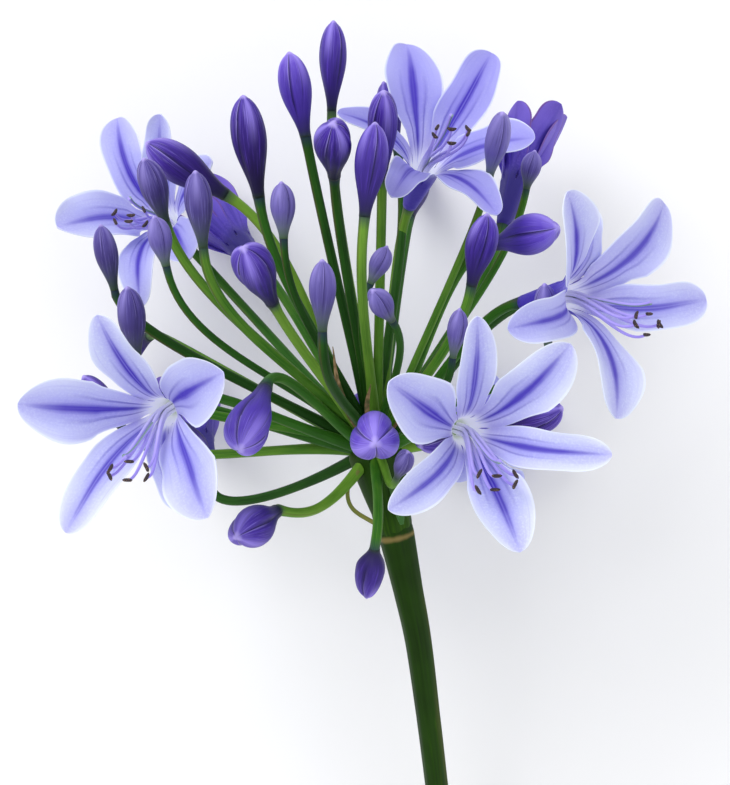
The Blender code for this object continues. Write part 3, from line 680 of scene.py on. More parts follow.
def bud_mesh(name, neck, tip, width, belly, turn):
    """The skin of a bud, its petals lapping at three seams, and a UV map of its turn and its length."""
    length = tip - neck
    along = length.normalized()
    side = along.orthogonal().normalized()
    across = along.cross(side)
    plump = min(MOST_PLUMP, max(LEAST_PLUMP, (width / length.length - SLIM_BUD) / FULLER_BY))
    places = [math.sin(math.pi / 2 * ring / (BUD_RINGS - 1)) ** RING_CROWDING for ring in range(BUD_RINGS)]
    points = []
    for place in places:
        high = max(0.0, place - belly) / (1.0 - belly)
        if place <= belly:
            swelling = (0.5 - 0.5 * math.cos(math.pi * place / belly)) ** CLUB_POWER
            share = NECK_SHARE + (0.5 - NECK_SHARE) * swelling
        else:
            share = 0.5 * (1.0 - high ** TIP_POWERS[0]) ** TIP_POWERS[1]
        body = min(1.0, place * 3.0)
        lobes = (BELLY_LOBES + (TIP_LOBES - BELLY_LOBES) * high) * plump
        nub = TIP_NUB * max(0.0, (place - NUB_FROM) / (1.0 - NUB_FROM))
        for step in range(BUD_SIDES):
            angle = math.tau * step / BUD_SIDES
            lobe = math.radians(turn) + angle - SEAM_TWIST * place
            past_seam = (lobe * 3 / math.tau) % 1.0
            seam = min(past_seam, 1.0 - past_seam) / 3 * math.tau
            dent = SEAM_DEPTH * plump * math.exp(-(seam / SEAM_WIDTH) ** 2)
            dent += lobes * (0.5 + 0.5 * math.cos(3 * lobe))
            dent += OVERLAP_STEP * (1.0 - past_seam) ** 3
            radius = width * share * (1.0 + lobes * 0.3 - dent * body)
            outward = side * math.cos(angle) + across * math.sin(angle)
            points.append(neck + length * place + along * nub + outward * radius)
    # The tip needs no face, because its ring merges into one point
    faces = tube_faces(BUD_RINGS, BUD_SIDES)
    del faces[1]
    corners = [(0.0, 0.0)] * BUD_SIDES
    for low, high in zip(places, places[1:]):
        for step in range(BUD_SIDES):
            left = turn / 360 + step / BUD_SIDES - SEAM_TWIST / math.tau * low
            left_up = left - SEAM_TWIST / math.tau * (high - low)
            right = left + 1 / BUD_SIDES
            right_up = left_up + 1 / BUD_SIDES
            corners += [(left, low), (right, low), (right_up, high), (left_up, high)]
    mesh = bpy.data.meshes.new(name)
    mesh.from_pydata([(RECEPTACLE + point) * MM for point in points], [], faces)
    mesh.uv_layers.new(name="skin").data.foreach_set("uv", [value for pair in corners for value in pair])
    mesh.shade_smooth()
    work = bmesh.new()
    work.from_mesh(mesh)
    bmesh.ops.remove_doubles(work, verts=work.verts[-BUD_SIDES:], dist=0.02 * MM)
    work.to_mesh(mesh)
    work.free()
    return mesh


def bud_skin(name, stops, streak_colour, dark_streak_and_seam_shade_colour, fibre_and_highlight_colour, gloss):
    """Waxy bud skin: a colour by height, streaks along it, seams darkened with painted shade beside pale
    lips, a painted highlight along each lobe, and a pale tip.

    stops are the ramps of the darkest and the palest bud. Each bud's paleness lies between, and it also
    moves the streaks, so that no two buds are alike."""
    material, tree, shader = new_material(name, ior=1.42)
    uv = add(tree, "ShaderNodeUVMap", {"uv_map": "skin"})
    parts = add(tree, "ShaderNodeSeparateXYZ", inputs={"Vector": uv.outputs["UV"]})
    place = parts.outputs["Y"]
    angle = add(tree, "ShaderNodeMath", {"operation": "MULTIPLY"}, {0: parts.outputs["X"], 1: math.tau})
    cosine = add(tree, "ShaderNodeMath", {"operation": "COSINE"}, {0: angle.outputs[0]})
    sine = add(tree, "ShaderNodeMath", {"operation": "SINE"}, {0: angle.outputs[0]})
    unrolled = add(tree, "ShaderNodeCombineXYZ", inputs={
        "X": cosine.outputs[0], "Y": sine.outputs[0], "Z": place})
    pale = add(tree, "ShaderNodeAttribute", {"attribute_name": "paleness"}).outputs["Fac"]
    moved = add(tree, "ShaderNodeVectorMath", {"operation": "SCALE"},
                {"Vector": (31.0, 17.0, 7.0), "Scale": pale})
    # Broad streaks, and fibres a quarter as wide
    patterns = []
    for stretch, scale, detail, rough, wander in (
        ((4.5, 4.5, 1.1), 1.6, 4.0, 0.65, 0.2),
        ((18.0, 18.0, 2.0), 1.5, 2.0, 0.6, 0.0),
    ):
        spot = add(tree, "ShaderNodeVectorMath", {"operation": "MULTIPLY_ADD"}, {
            0: unrolled.outputs[0], 1: stretch, 2: moved.outputs[0]})
        patterns.append(add(tree, "ShaderNodeTexNoise", inputs={
            "Vector": spot.outputs[0], "Scale": scale, "Detail": detail, "Roughness": rough,
            "Distortion": wander}).outputs["Fac"])
    streaks, fibres = patterns

    # Each third of a turn starts at a seam, with painted shade on one side and the lip of the petal on the
    # other
    thirds = add(tree, "ShaderNodeMath", {"operation": "MULTIPLY"}, {0: parts.outputs["X"], 1: 3.0})
    past_seam = add(tree, "ShaderNodeMath", {"operation": "FRACT"}, {0: thirds.outputs[0]}).outputs[0]
    fold = add(tree, "ShaderNodeMath", {"operation": "PINGPONG"}, {0: thirds.outputs[0], 1: 0.5}).outputs[0]
    # Each band is where on a measure it begins and ends, and how strong it is at either
    bands = {}
    for key, source, low, high, at_low, at_high in (
        ("streaks", streaks, 0.5, 0.72, 0.0, 0.6),
        ("dark streaks", streaks, 0.3, 0.48, 0.5, 0.0),
        ("fibres", fibres, 0.52, 0.75, 0.0, 0.75),
        ("upper part", place, 0.5, 0.95, 0.0, 1.0),
        ("body", place, 0.15, 0.45, 0.0, 1.0),
        ("seam", past_seam, 0.0, 0.14, 0.85, 0.0),
        ("lip", past_seam, 0.95, 0.99, 0.0, 0.7),
        ("ridge highlight", fold, 0.28, 0.5, 0.0, 0.6),
        ("tip", place, 0.98, 1.0, 0.0, 0.8),
    ):
        bands[key] = add(tree, "ShaderNodeMapRange", {"interpolation_type": "SMOOTHSTEP"}, {
            "Value": source, "From Min": low, "From Max": high,
            "To Min": at_low, "To Max": at_high}).outputs["Result"]
    dark = add(tree, "ShaderNodeValToRGB", inputs={"Fac": place}, stops=stops[0])
    light = add(tree, "ShaderNodeValToRGB", inputs={"Fac": place}, stops=stops[1])
    colour = add(tree, "ShaderNodeMix", {"data_type": "RGBA"}, {
        0: pale, 6: dark.outputs["Color"], 7: light.outputs["Color"]}).outputs[2]
    colour = layered(tree, colour, (
        (bands["streaks"], bands["body"], streak_colour),
        (bands["dark streaks"], bands["body"], dark_streak_and_seam_shade_colour),
        # A painted highlight lightens the middle of each lobe towards the tip
        (bands["ridge highlight"], bands["upper part"], fibre_and_highlight_colour),
        (bands["fibres"], bands["upper part"], fibre_and_highlight_colour),
        # Painted shade darkens one side of each seam
        (bands["seam"], bands["body"], dark_streak_and_seam_shade_colour),
        (bands["lip"], bands["upper part"], "#a99be8"),
        (bands["tip"], 1.0, "#b9abf0"),
    ))
    surfaced(tree, shader, colour, (streaks, 0.35, 0.3), streaks, gloss, 0.15)
    shader.inputs["Specular IOR Level"].default_value = 0.35
    return material


# Ripe bud skin: deep violet under a thin bloom of wax, darkest low down, with paler fibres at the tip
ripe_skin = bud_skin("waxy_bud_skin", (
    ((0.0, "#16281c"), (0.07, "#191338"), (0.3, "#1e0c48"), (0.7, "#2c1172"), (1.0, "#3e2298")),
    ((0.0, "#263c2e"), (0.07, "#302866"), (0.3, "#4830a4"), (0.62, "#523ab2"), (0.88, "#654ac6"),
     (1.0, "#9884e6")),
), "#5c40b8", "#150842", "#a492f0", 0.4)
# Young bud skin: thinner colour, so grey-green tissue shows through in lines
young_skin = bud_skin("young_bud_skin", (
    ((0.0, "#243c22"), (0.2, "#2e334c"), (0.5, "#352a68"), (1.0, "#483a8e")),
    ((0.0, "#46643a"), (0.2, "#6d7488"), (0.5, "#6f64b0"), (1.0, "#8a80c8")),
), "#8078be", "#3a3070", "#958ad2", 0.42)
for name, neck, tip, width, belly, paleness, turn in BUDS:
    mesh = bud_mesh(name + "_skin", Vector(neck), Vector(tip), width, belly, turn)
    palenesses = [paleness] * len(mesh.vertices)
    mesh.attributes.new("paleness", "FLOAT", "POINT").data.foreach_set("value", palenesses)
    mesh.materials.append(young_skin if name in YOUNG_BUDS + DULL_BUDS else ripe_skin)
    bud = placed(name + "_skin", mesh)
    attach(bud, "root")
    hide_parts(name)


# Flowers
# Each is one tube that parts at its mouth into six petals, three wide inner and three narrower outer ones.
# The petals are thin and lilac-blue, with a deep violet midrib, a white throat and a pale, wavy edge.
TEPALS = 6
# The tube's outer and inner walls, as heights and radii
TUBE_OUTER = ((0.0, 1.9), (6.0, 2.9), (14.0, 4.0))
TUBE_INNER = ((14.0, 3.25), (6.0, 2.15), (1.5, 1.2))
TUBE_ROWS = 10
TUBE_RIB = 0.05
# How far up a petal's UV map the tube's mouth lies
MOUTH_ON_MAP = 0.28
TEPAL_ROWS = 32
TEPAL_COLUMNS = 18
TIP_CROWDING = 1.1
EDGE_CROWDING = 0.9
MOUTH_LEAN = 14.0
LEAN_POWER = 0.75
TURN_END = 2 / 3
INTEGRATION_STEPS = 96
NEIGHBOUR_SHARE = 0.6
OVERLAP_DEPTH = 1.5
OVERLAP_GAIN = 2.0
TROUGH = 0.09
MOUTH_TROUGH = 0.134
MOUTH_THICKNESS = 0.72
TEPAL_THICKNESS = 0.42
EDGE_THICKNESS = 0.22
MOUTH_THICK_TO = 0.15
MOUTH_TROUGH_TO = 0.2
OPEN_MOUTH_TO = 0.12
CLOSED_MOUTH_TO = 0.04
WIDEST_AT = 0.56
FOOT_WIDTH = 0.42
RIB_FOLD = 0.22
RIB_WIDTH = 0.16
RIPPLE = 0.85
EDGE_WAVE = 0.07
EDGE_WAVE_ANGLE = 11.0
OPEN_LEAN = 65.0
HALF_OPEN = 0.4
LAPPED_SHARE = 1.25
LAP = 0.8
OUTER_RIM_TO = 0.48
# How much darker each flower's lilac is drawn than a pale bloom's, where 1 is the darkest
DEPTHS = {"bloom_1": 0.2, "bloom_2": 0.1, "bloom_3": 1.0, "bloom_4": 0.3, "bloom_5": 0.5}
USUAL_DEPTH = 0.3
FIRST_SEED = 40


def stance(mouth, axis, tepals):
    """A flower's axis, the turn from upright to it, its neck, and how open it is from 0 to 1."""
    axis = Vector(axis).normalized()
    turn = Vector((0.0, 0.0, 1.0)).rotation_difference(axis)
    openness = min(1.0, sum(lean for _, lean, _, _ in tepals) / TEPALS / OPEN_LEAN)
    return axis, turn, Vector(mouth) - axis * TUBE_LENGTH, openness


def tepal_line(base_bearing, bearing, lean, length):
    """Fine points along a tepal's middle from the mouth, as (point, tangent, bearing)."""
    point = Vector((math.cos(base_bearing), math.sin(base_bearing), 0.0)) * TUBE_INNER[0][1]
    point.z = TUBE_LENGTH
    line = []
    for step in range(INTEGRATION_STEPS + 1):
        place = step / INTEGRATION_STEPS
        tilt = math.radians(MOUTH_LEAN + (lean - MOUTH_LEAN) * place ** LEAN_POWER)
        turn = base_bearing + (bearing - base_bearing) * min(1.0, place / TURN_END)
        outward = math.sin(tilt)
        tangent = Vector((outward * math.cos(turn), outward * math.sin(turn), math.cos(tilt)))
        line.append((point.copy(), tangent, turn))
        point += tangent * length / INTEGRATION_STEPS
    return line


def on_line(line, place):
    """The point, tangent and bearing of a line at any place along it."""
    exact = place * INTEGRATION_STEPS
    step = min(int(exact), INTEGRATION_STEPS - 1)
    rest = exact - step
    point, tangent, turn = line[step]
    next_point, next_tangent, next_turn = line[step + 1]
    return (point.lerp(next_point, rest), tangent.lerp(next_tangent, rest).normalized(),
            turn + (next_turn - turn) * rest)


def outline(place):
    """A petal's half width at a place, as a share of its greatest."""
    if place < WIDEST_AT:
        return FOOT_WIDTH + (1.0 - FOOT_WIDTH) * math.sin(math.pi / 2 * place / WIDEST_AT) ** 1.2
    return max(0.0, 1.0 - ((place - WIDEST_AT) / (1.0 - WIDEST_AT)) ** 2.55) ** 0.53


def side_limit(centre, other, across):
    """Half the width that a tepal may take beside its neighbour, more where one lies behind the other."""
    beside = abs((other - centre).dot(across)) * NEIGHBOUR_SHARE
    depth = math.hypot(math.hypot(*centre.xy) - math.hypot(*other.xy), centre.z - other.z)
    return beside + max(0.0, depth - OVERLAP_DEPTH) * OVERLAP_GAIN


def tube_rows(base, columns):
    """The inner and outer points of one petal's sixth of the tube, row by row, with heights on its map."""
    foot = TUBE_INNER[-1][0]
    rows = []
    for row in range(TUBE_ROWS):
        share = row / TUBE_ROWS
        height_out = TUBE_LENGTH * share
        height_in = foot + (TUBE_LENGTH - foot) * share
        radius_out = float(np.interp(height_out, *zip(*TUBE_OUTER)))
        radius_in = float(np.interp(height_in, *zip(*TUBE_INNER[::-1])))
        inner_row = []
        outer_row = []
        for w in columns:
            angle = base + math.pi / TEPALS * w
            rib = 1.0 + TUBE_RIB * share * math.cos(math.pi * w)
            heading = Vector((math.cos(angle), math.sin(angle), 0.0))
            inner_row.append(heading * radius_in + Vector((0.0, 0.0, height_in)))
            outer_row.append(heading * radius_out * rib + Vector((0.0, 0.0, height_out)))
        rows.append((inner_row, outer_row, share * MOUTH_ON_MAP))
    return rows


def petal_rows(line, neighbours, widest, columns, ripple_phase, ripple_count, closed):
    """The inner and outer points of one petal, row by row, with heights on its map.

    It is as wide as its neighbours leave room for, or in a closed flower it laps over one of them. Each
    edge ripples with its own phase and count, the middle is folded, and both faces end in a thin edge."""
    mouth_half = TUBE_INNER[0][1] * math.sin(math.pi / TEPALS)
    mouth_to = CLOSED_MOUTH_TO if closed else OPEN_MOUTH_TO
    rows = []
    for row in range(TEPAL_ROWS + 1):
        place = math.sin(math.pi / 2 * row / TEPAL_ROWS) ** TIP_CROWDING
        size = outline(place)
        centre, along, bearing = on_line(line, place)
        across = Vector((-math.sin(bearing), math.cos(bearing), 0.0))
        across = (across - along * along.dot(across)).normalized()
        inward = along.cross(across)
        halves = []
        for neighbour in neighbours:
            other = on_line(neighbour, place)[0]
            if closed:
                reach = min(widest / 2, (other - centre).length * LAPPED_SHARE) * size
            else:
                reach = min(widest * size / 2, side_limit(centre, other, across))
            halves.append(mouth_half + (reach - mouth_half) * min(1.0, place / mouth_to))
        trough = TROUGH + (MOUTH_TROUGH - TROUGH) * max(0.0, 1.0 - place / MOUTH_TROUGH_TO)
        ripple = RIPPLE * min(1.0, place * 1.6) * (1.0 - 0.5 * place) * min(1.0, 1.6 * size)
        lap = LAP * min(1.0, place * 6) * size
        fold = RIB_FOLD * min(1.0, place * 5) * (1.0 - place) ** 0.5
        inner_row = []
        outer_row = []
        for w in columns:
            side = 1 if w > 0 else 0
            wave = math.sin(ripple_phase[side] + EDGE_WAVE_ANGLE * place) * EDGE_WAVE * min(1.0, place * 3)
            width = halves[side] * (1.0 + wave)
            if closed:
                rise = trough * width * w * w - lap * w
            else:
                turns = ripple_phase[side] + math.tau * ripple_count[side] * place
                rise = 2 * trough * width * w * w + ripple * abs(w) ** 3 * math.sin(turns)
            rise -= fold * math.exp(-(w / RIB_WIDTH) ** 2)
            spot = centre + across * (w * width) + inward * rise
            thickness = TEPAL_THICKNESS + (EDGE_THICKNESS - TEPAL_THICKNESS) * abs(w) ** 4
            thickness += (MOUTH_THICKNESS - thickness) * max(0.0, 1.0 - place / MOUTH_THICK_TO)
            inner_row.append(spot)
            outer_row.append(spot - inward * thickness)
        rows.append((inner_row, outer_row, MOUTH_ON_MAP + (1.0 - MOUTH_ON_MAP) * place))
    return rows


def flower_mesh(name, neck, turn, tepals, seed, depth, closed):
    """The skin of a flower's tube and petals, its neck at neck, with UV maps that follow each petal."""
    rng = random.Random(seed)
    bearings = [math.radians(tepal[0]) for tepal in tepals]
    drift = 0.0
    for index, bearing in enumerate(bearings):
        drift += (bearing - bearings[0]) % math.tau - math.tau * index / TEPALS
    bases = [bearings[0] + drift / TEPALS + math.tau * index / TEPALS for index in range(TEPALS)]
    lines = []
    for base, (bearing, lean, length, _) in zip(bases, tepals):
        bend = (math.radians(bearing) - base + math.pi) % math.tau - math.pi
        lines.append(tepal_line(base, base + bend, lean, length))

    even = [2 * column / TEPAL_COLUMNS - 1 for column in range(TEPAL_COLUMNS + 1)]
    columns = [math.copysign(abs(w) ** EDGE_CROWDING, w) for w in even]
    points = []
    faces = []
    corners = []
    kinds = []
    tints = []
    sharp = []
    for index, line in enumerate(lines):
        stripe = rng.uniform(0.75, 1.0)
        shade = min(1.0, max(0.0, depth + rng.uniform(-0.2, 0.2)))
        double = rng.choice((0.0, 0.3, 0.9))
        ripple_phase = (rng.uniform(0, math.tau), rng.uniform(0, math.tau))
        ripple_count = (rng.uniform(1.5, 2.4), rng.uniform(1.5, 2.4))
        neighbours = (lines[(index - 1) % TEPALS], lines[(index + 1) % TEPALS])
        widest = tepals[index][3]
        drawn = tube_rows(bases[index], columns)
        drawn += petal_rows(line, neighbours, widest, columns, ripple_phase, ripple_count, closed)
        rows = []
        for inner_row, outer_row, height in drawn:
            rows.append((len(points), len(points) + len(columns), height))
            points += inner_row + outer_row
        for (inner, outer, low), (next_inner, next_outer, high) in zip(rows, rows[1:]):
            for column in range(TEPAL_COLUMNS):
                left = 0.5 + 0.5 * columns[column]
                right = 0.5 + 0.5 * columns[column + 1]
                starts = (inner, next_inner, next_inner + 1, inner + 1)
                faces.append(tuple(start + column for start in starts))
                corners.append(((left, low), (left, high), (right, high), (right, low)))
                starts = (outer, outer + 1, next_outer + 1, next_outer)
                faces.append(tuple(start + column for start in starts))
                corners.append(((left, low), (right, low), (right, high), (left, high)))
                kinds += [0, 1]
            # Only a petal's rows have free edges, which a narrow rim closes
            if low >= MOUTH_ON_MAP:
                for column, w in ((0, 0.0), (TEPAL_COLUMNS, 1.0)):
                    quad = [start + column for start in (inner, outer, next_outer, next_inner)]
                    order = [(w, low), (w, low), (w, high), (w, high)]
                    if column:
                        quad.reverse()
                        order.reverse()
                    faces.append(tuple(quad))
                    corners.append(tuple(order))
                    kinds.append(1 if low < OUTER_RIM_TO else 0)
                    sharp.append((inner + column, next_inner + column))
                    sharp.append((outer + column, next_outer + column))
        tints += [(stripe, shade, double, 1.0)] * (len(faces) - len(tints))
    mesh = bpy.data.meshes.new(name)
    mesh.from_pydata([(RECEPTACLE + neck + turn @ point) * MM for point in points], [], faces)
    mesh.uv_layers.new(name="petal").data.foreach_set(
        "uv", [value for face in corners for pair in face for value in pair])
    mesh.attributes.new("tint", "FLOAT_COLOR", "FACE").data.foreach_set(
        "color", [value for tint in tints for value in tint])
    mesh.polygons.foreach_set("material_index", kinds)
    mesh.shade_smooth()
    work = bmesh.new()
    work.from_mesh(mesh)
    work.verts.ensure_lookup_table()
    for a, b in sharp:
        edge = work.edges.get((work.verts[a], work.verts[b]))
        if edge:
            edge.smooth = False
    bmesh.ops.remove_doubles(work, verts=work.verts[:], dist=0.01 * MM)
    open_ends = [edge for edge in work.edges if edge.is_boundary]
    for face in bmesh.ops.holes_fill(work, edges=open_ends, sides=0)["faces"]:
        face.material_index = 1
    bmesh.ops.recalc_face_normals(work, faces=work.faces[:])
    work.to_mesh(mesh)
    work.free()
    return mesh


def petal_skin(name, along_stops, shades, throat, stripe_stops, gloss):
    """Thin petal tissue: a colour by length, a pale edge, a violet midrib with side lines, fine veins, and
    a painted glow in the throat.

    shades are the colours of its edge, rim, flanks and stripe as hex codes."""
    edge_colour, rim_colour, flank_colour, stripe_colour = shades
    material, tree, shader = new_material(name, ior=1.36)
    uv = add(tree, "ShaderNodeUVMap", {"uv_map": "petal"}).outputs["UV"]
    parts = add(tree, "ShaderNodeSeparateXYZ", inputs={"Vector": uv})
    place = parts.outputs["Y"]
    tint = add(tree, "ShaderNodeAttribute", {"attribute_name": "tint"})
    tints = add(tree, "ShaderNodeSeparateColor", inputs={"Color": tint.outputs["Color"]})
    where = add(tree, "ShaderNodeTexCoord").outputs["Object"]
    offset = add(tree, "ShaderNodeMath", {"operation": "SUBTRACT"}, {0: parts.outputs["X"], 1: 0.5})
    half_aside = add(tree, "ShaderNodeMath", {"operation": "ABSOLUTE"}, {0: offset.outputs[0]})
    aside = add(tree, "ShaderNodeMath", {"operation": "MULTIPLY"},
                {0: half_aside.outputs[0], 1: 2.0}).outputs[0]

    # Veins run lengthwise about 0.6 mm apart, and the cells are drawn at 0.5 mm, coarser than real, to show
    veins_at = add(tree, "ShaderNodeVectorMath", {"operation": "MULTIPLY_ADD"}, {
        0: uv, 1: (16.0, 0.9, 1.0), 2: tint.outputs["Vector"]})
    veins = add(tree, "ShaderNodeTexNoise", inputs={
        "Vector": veins_at.outputs[0], "Scale": 2.0, "Detail": 3.0, "Roughness": 0.6}).outputs["Fac"]
    cells, clouds = [
        add(tree, "ShaderNodeTexNoise", inputs={
            "Vector": where, "Scale": scale, "Detail": detail}).outputs["Fac"]
        for scale, detail in ((1900.0, 1.0), (130.0, 2.0))
    ]

    # The stripe is a spindle: its rim wanders with the veins and draws in towards both ends
    wander = aside
    for source, share in ((clouds, 0.08), (veins, 0.1)):
        wander = add(tree, "ShaderNodeMath", {"operation": "MULTIPLY_ADD"}, {
            0: source, 1: share, 2: wander}).outputs[0]
    distances = []
    for source, line in ((place, 0.62), (wander, 0.5)):
        past = add(tree, "ShaderNodeMath", {"operation": "SUBTRACT"}, {0: source, 1: line})
        distance = add(tree, "ShaderNodeMath", {"operation": "ABSOLUTE"}, {0: past.outputs[0]})
        distances.append(distance.outputs[0])
    from_middle, from_side_line = distances
    spindle = add(tree, "ShaderNodeMath", {"operation": "MULTIPLY_ADD"}, {
        0: from_middle, 1: 0.24, 2: wander}).outputs[0]

    # Each band is where on a measure it begins and ends, and how strong it is at either
    bands = {}
    for key, source, low, high, at_low, at_high in (
        ("outer part", place, 0.36, 0.62, 0.0, 1.0),
        ("edge", aside, 0.35, 1.0, 0.0, 0.75),
        ("rim", aside, 0.9, 0.98, 0.0, 0.7),
        ("bright cells", cells, 0.4, 0.75, 0.0, 0.45),
        ("cloudy", clouds, 0.3, 0.7, 0.5, 1.0),
        ("flanks", aside, 0.45, 0.95, 0.0, 0.35),
        ("veined", veins, 0.52, 0.8, 0.0, 0.3),
        ("halo", spindle, 0.12, 0.62, 0.9, 0.0),
        ("core", spindle, 0.13, 0.33, 1.0, 0.0),
        ("gap", aside, 0.0, 0.06, 0.6, 0.0),
        ("side line", from_side_line, 0.0, 0.1, 0.8, 0.0),
        ("throat", place, 0.24, 0.4, 1.0, 0.0),
        ("painted glow", place, 0.26, 0.4, 0.22, 0.0),
        ("deeper", tints.outputs["Green"], 0.0, 1.0, 0.0, 0.7),
    ):
        bands[key] = add(tree, "ShaderNodeMapRange", {"interpolation_type": "SMOOTHSTEP"}, {
            "Value": source, "From Min": low, "From Max": high,
            "To Min": at_low, "To Max": at_high}).outputs["Result"]
    for key, stops in (
        ("inner part", ((0.27, 0.0), (0.36, 1.0), (0.55, 0.7), (0.8, 0.0))),
        ("stripe's length", stripe_stops),
    ):
        bands[key] = add(tree, "ShaderNodeValToRGB", inputs={"Fac": place}, stops=stops).outputs["Color"]
    # A stripe is as strong as its petal's red tint says, and its blue tint splits the core in two
    bands["stripe"] = add(tree, "ShaderNodeMath", {"operation": "MULTIPLY"}, {
        0: bands["stripe's length"], 1: tints.outputs["Red"]}).outputs[0]
    bands["inner stripe"] = add(tree, "ShaderNodeMath", {"operation": "MULTIPLY"}, {
        0: bands["inner part"], 1: bands["stripe"]}).outputs[0]
    split = add(tree, "ShaderNodeMath", {"operation": "MULTIPLY"}, {
        0: bands["gap"], 1: tints.outputs["Blue"]})
    bands["split core"] = add(tree, "ShaderNodeMath", {"operation": "SUBTRACT", "use_clamp": True}, {
        0: bands["core"], 1: split.outputs[0]}).outputs[0]
    colour = add(tree, "ShaderNodeValToRGB", inputs={"Fac": place}, stops=along_stops).outputs["Color"]
    colour = layered(tree, colour, (
        (bands["edge"], bands["outer part"], edge_colour),
        (bands["bright cells"], bands["cloudy"], edge_colour),
        (bands["deeper"], bands["outer part"], flank_colour),
        (bands["flanks"], bands["inner part"], flank_colour),
        (bands["veined"], 1.0, flank_colour),
        (bands["halo"], bands["stripe"], flank_colour),
        (bands["throat"], 1.0, throat),
        (bands["side line"], bands["inner stripe"], stripe_colour),
        (bands["split core"], bands["stripe"], stripe_colour),
        (bands["rim"], bands["outer part"], rim_colour),
    ))
    relief = add(tree, "ShaderNodeMath", {"operation": "MULTIPLY_ADD"}, {0: veins, 1: 0.6, 2: cells})
    surfaced(tree, shader, colour, (relief.outputs[0], 0.35, 0.12), cells, gloss, 0.15)
    # Daylight comes through the thin tissue, and a faint emission in the throat is painted light standing
    # in for the daylight that comes through its colourless walls
    shader.inputs["Subsurface Weight"].default_value = 0.3
    shader.inputs["Subsurface Radius"].default_value = (1.0, 0.9, 1.3)
    shader.inputs["Subsurface Scale"].default_value = 0.0005
    shader.inputs["Emission Color"].default_value = linear(throat)
    tree.links.new(bands["painted glow"], shader.inputs["Emission Strength"])
    return material


STRIPE_INSIDE = ((0.24, 0.0), (0.33, 0.6), (0.42, 1.0), (0.78, 1.0), (0.9, 0.55), (0.98, 0.1))
STRIPE_OUTSIDE = ((0.0, 0.3), (0.3, 0.8), (0.6, 0.7), (0.9, 0.3))
# Open petal, inner face: pale lilac-blue tissue that looks frosted, because its cells stand up like velvet
petal_face = petal_skin("frosted_petal_face", (
    (0.0, "#c4cc9c"), (0.24, "#eef0f8"), (0.38, "#cfccf2"), (0.55, "#b9baea"), (0.8, "#bec2ee"),
    (1.0, "#babbea")), ("#dfe5fa", "#e6edff", "#8780da", "#3314ae"), "#eef0f8", STRIPE_INSIDE, 0.5)
# Open petal, outer face, and the tube: smoother, and more violet towards the neck
petal_back = petal_skin("smooth_petal_back", (
    (0.0, "#2c2570"), (0.2, "#3a2b98"), (0.34, "#5546bb"), (0.55, "#8078dc"), (0.8, "#9c9eea"),
    (1.0, "#acaef0")), ("#c3caf8", "#c3caf8", "#6a5ad0", "#3f2aae"), "#3a2b98", STRIPE_OUTSIDE, 0.42)
# Half-open flower: the same tissue still full of colour, with brownish edges outside
young_face = petal_skin("young_petal_face", (
    (0.0, "#b9c49c"), (0.28, "#8f80d0"), (0.4, "#6e5acb"), (0.8, "#6b58c8"),
    (1.0, "#5d48b4")), ("#9385de", "#7a4a92", "#5b46be", "#301d8a"), "#7a68c0", STRIPE_INSIDE, 0.5)
young_back = petal_skin("young_petal_back", (
    (0.0, "#25204f"), (0.2, "#2f2478"), (0.45, "#5540b4"), (0.8, "#715acb"),
    (1.0, "#634bb0")), ("#7c66cc", "#6a3a74", "#5340b6", "#3a2896"), "#2d2474", STRIPE_OUTSIDE, 0.4)

for number, (name, mouth, axis, tepals) in enumerate(BLOOMS):
    axis, turn, neck, openness = stance(mouth, axis, tepals)
    closed = openness < HALF_OPEN
    depth = DEPTHS.get(name, USUAL_DEPTH)
    mesh = flower_mesh(name + "_petals", neck, turn, tepals, FIRST_SEED + number, depth, closed)
    for skin in (young_face, young_back) if closed else (petal_face, petal_back):
        mesh.materials.append(skin)
    flower = placed(name + "_petals", mesh)
    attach(flower, "root")
    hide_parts(name)


# Stamens and pistils
# Six lilac threads curve out of each mouth and turn up at their ends, each with a swinging anther.
# The style is one thread more, paler and green along one side, on a green ovary in the tube.
STAMENS = 6
FILAMENT_FOOT_HEIGHT = 7.6
FILAMENT_FOOT_RADIUS = 1.1
FILAMENT_RADIUS = 0.5
FILAMENT_TAPER = 0.35
FILAMENT_SIDES = 12
FILAMENT_STEPS = 22
FILAMENT_LEAVING = 0.35
FILAMENT_ARRIVING = 0.3
FILAMENT_UPTURN = 0.25
LEAST_SPREAD = 0.35
STAMEN_REACH = 25.0
STAMEN_SAG = 9.5
STYLE_REACH = 27.0
STYLE_SAG = 4.5
STYLE_RADIUS = 0.425
STIGMA_RADIUS = 0.55
STYLE_GREEN = 0.8
STAMEN_SPREAD = 4.5
SPREAD_ALONG_SAG = 0.4
CLOSED_REACH = 0.55
STAMEN_VARIATION = 1.2
ANTHER_LENGTH = 2.5
ANTHER_RADIUS = 0.52
ANTHER_WIDTH_SHARE = 0.8
ANTHER_ROUNDING = 2.6
ANTHER_BOW = 0.35
ANTHER_RINGS = 9
ANTHER_SIDES = 12
GROOVE_DEPTH = 0.28
GROOVE_WIDTH = 0.35
GRAINS_PER_SQUARE_MM = 2.5
GRAIN_RADIUS = 0.09
FIRST_POLLEN_SEED = 3
SAG_DIRECTION = Vector((0.0, -1.0, 0.0))
# The ovary, as heights in the tube and radii there
OVARY = ((2.1, 0.7), (4.5, 1.25), (6.5, 1.5), (8.0, 1.0), (8.6, 0.5))
OVARY_SIDES = 18
OVARY_RIBS = 3.0
OVARY_RIB_HEIGHT = 0.12


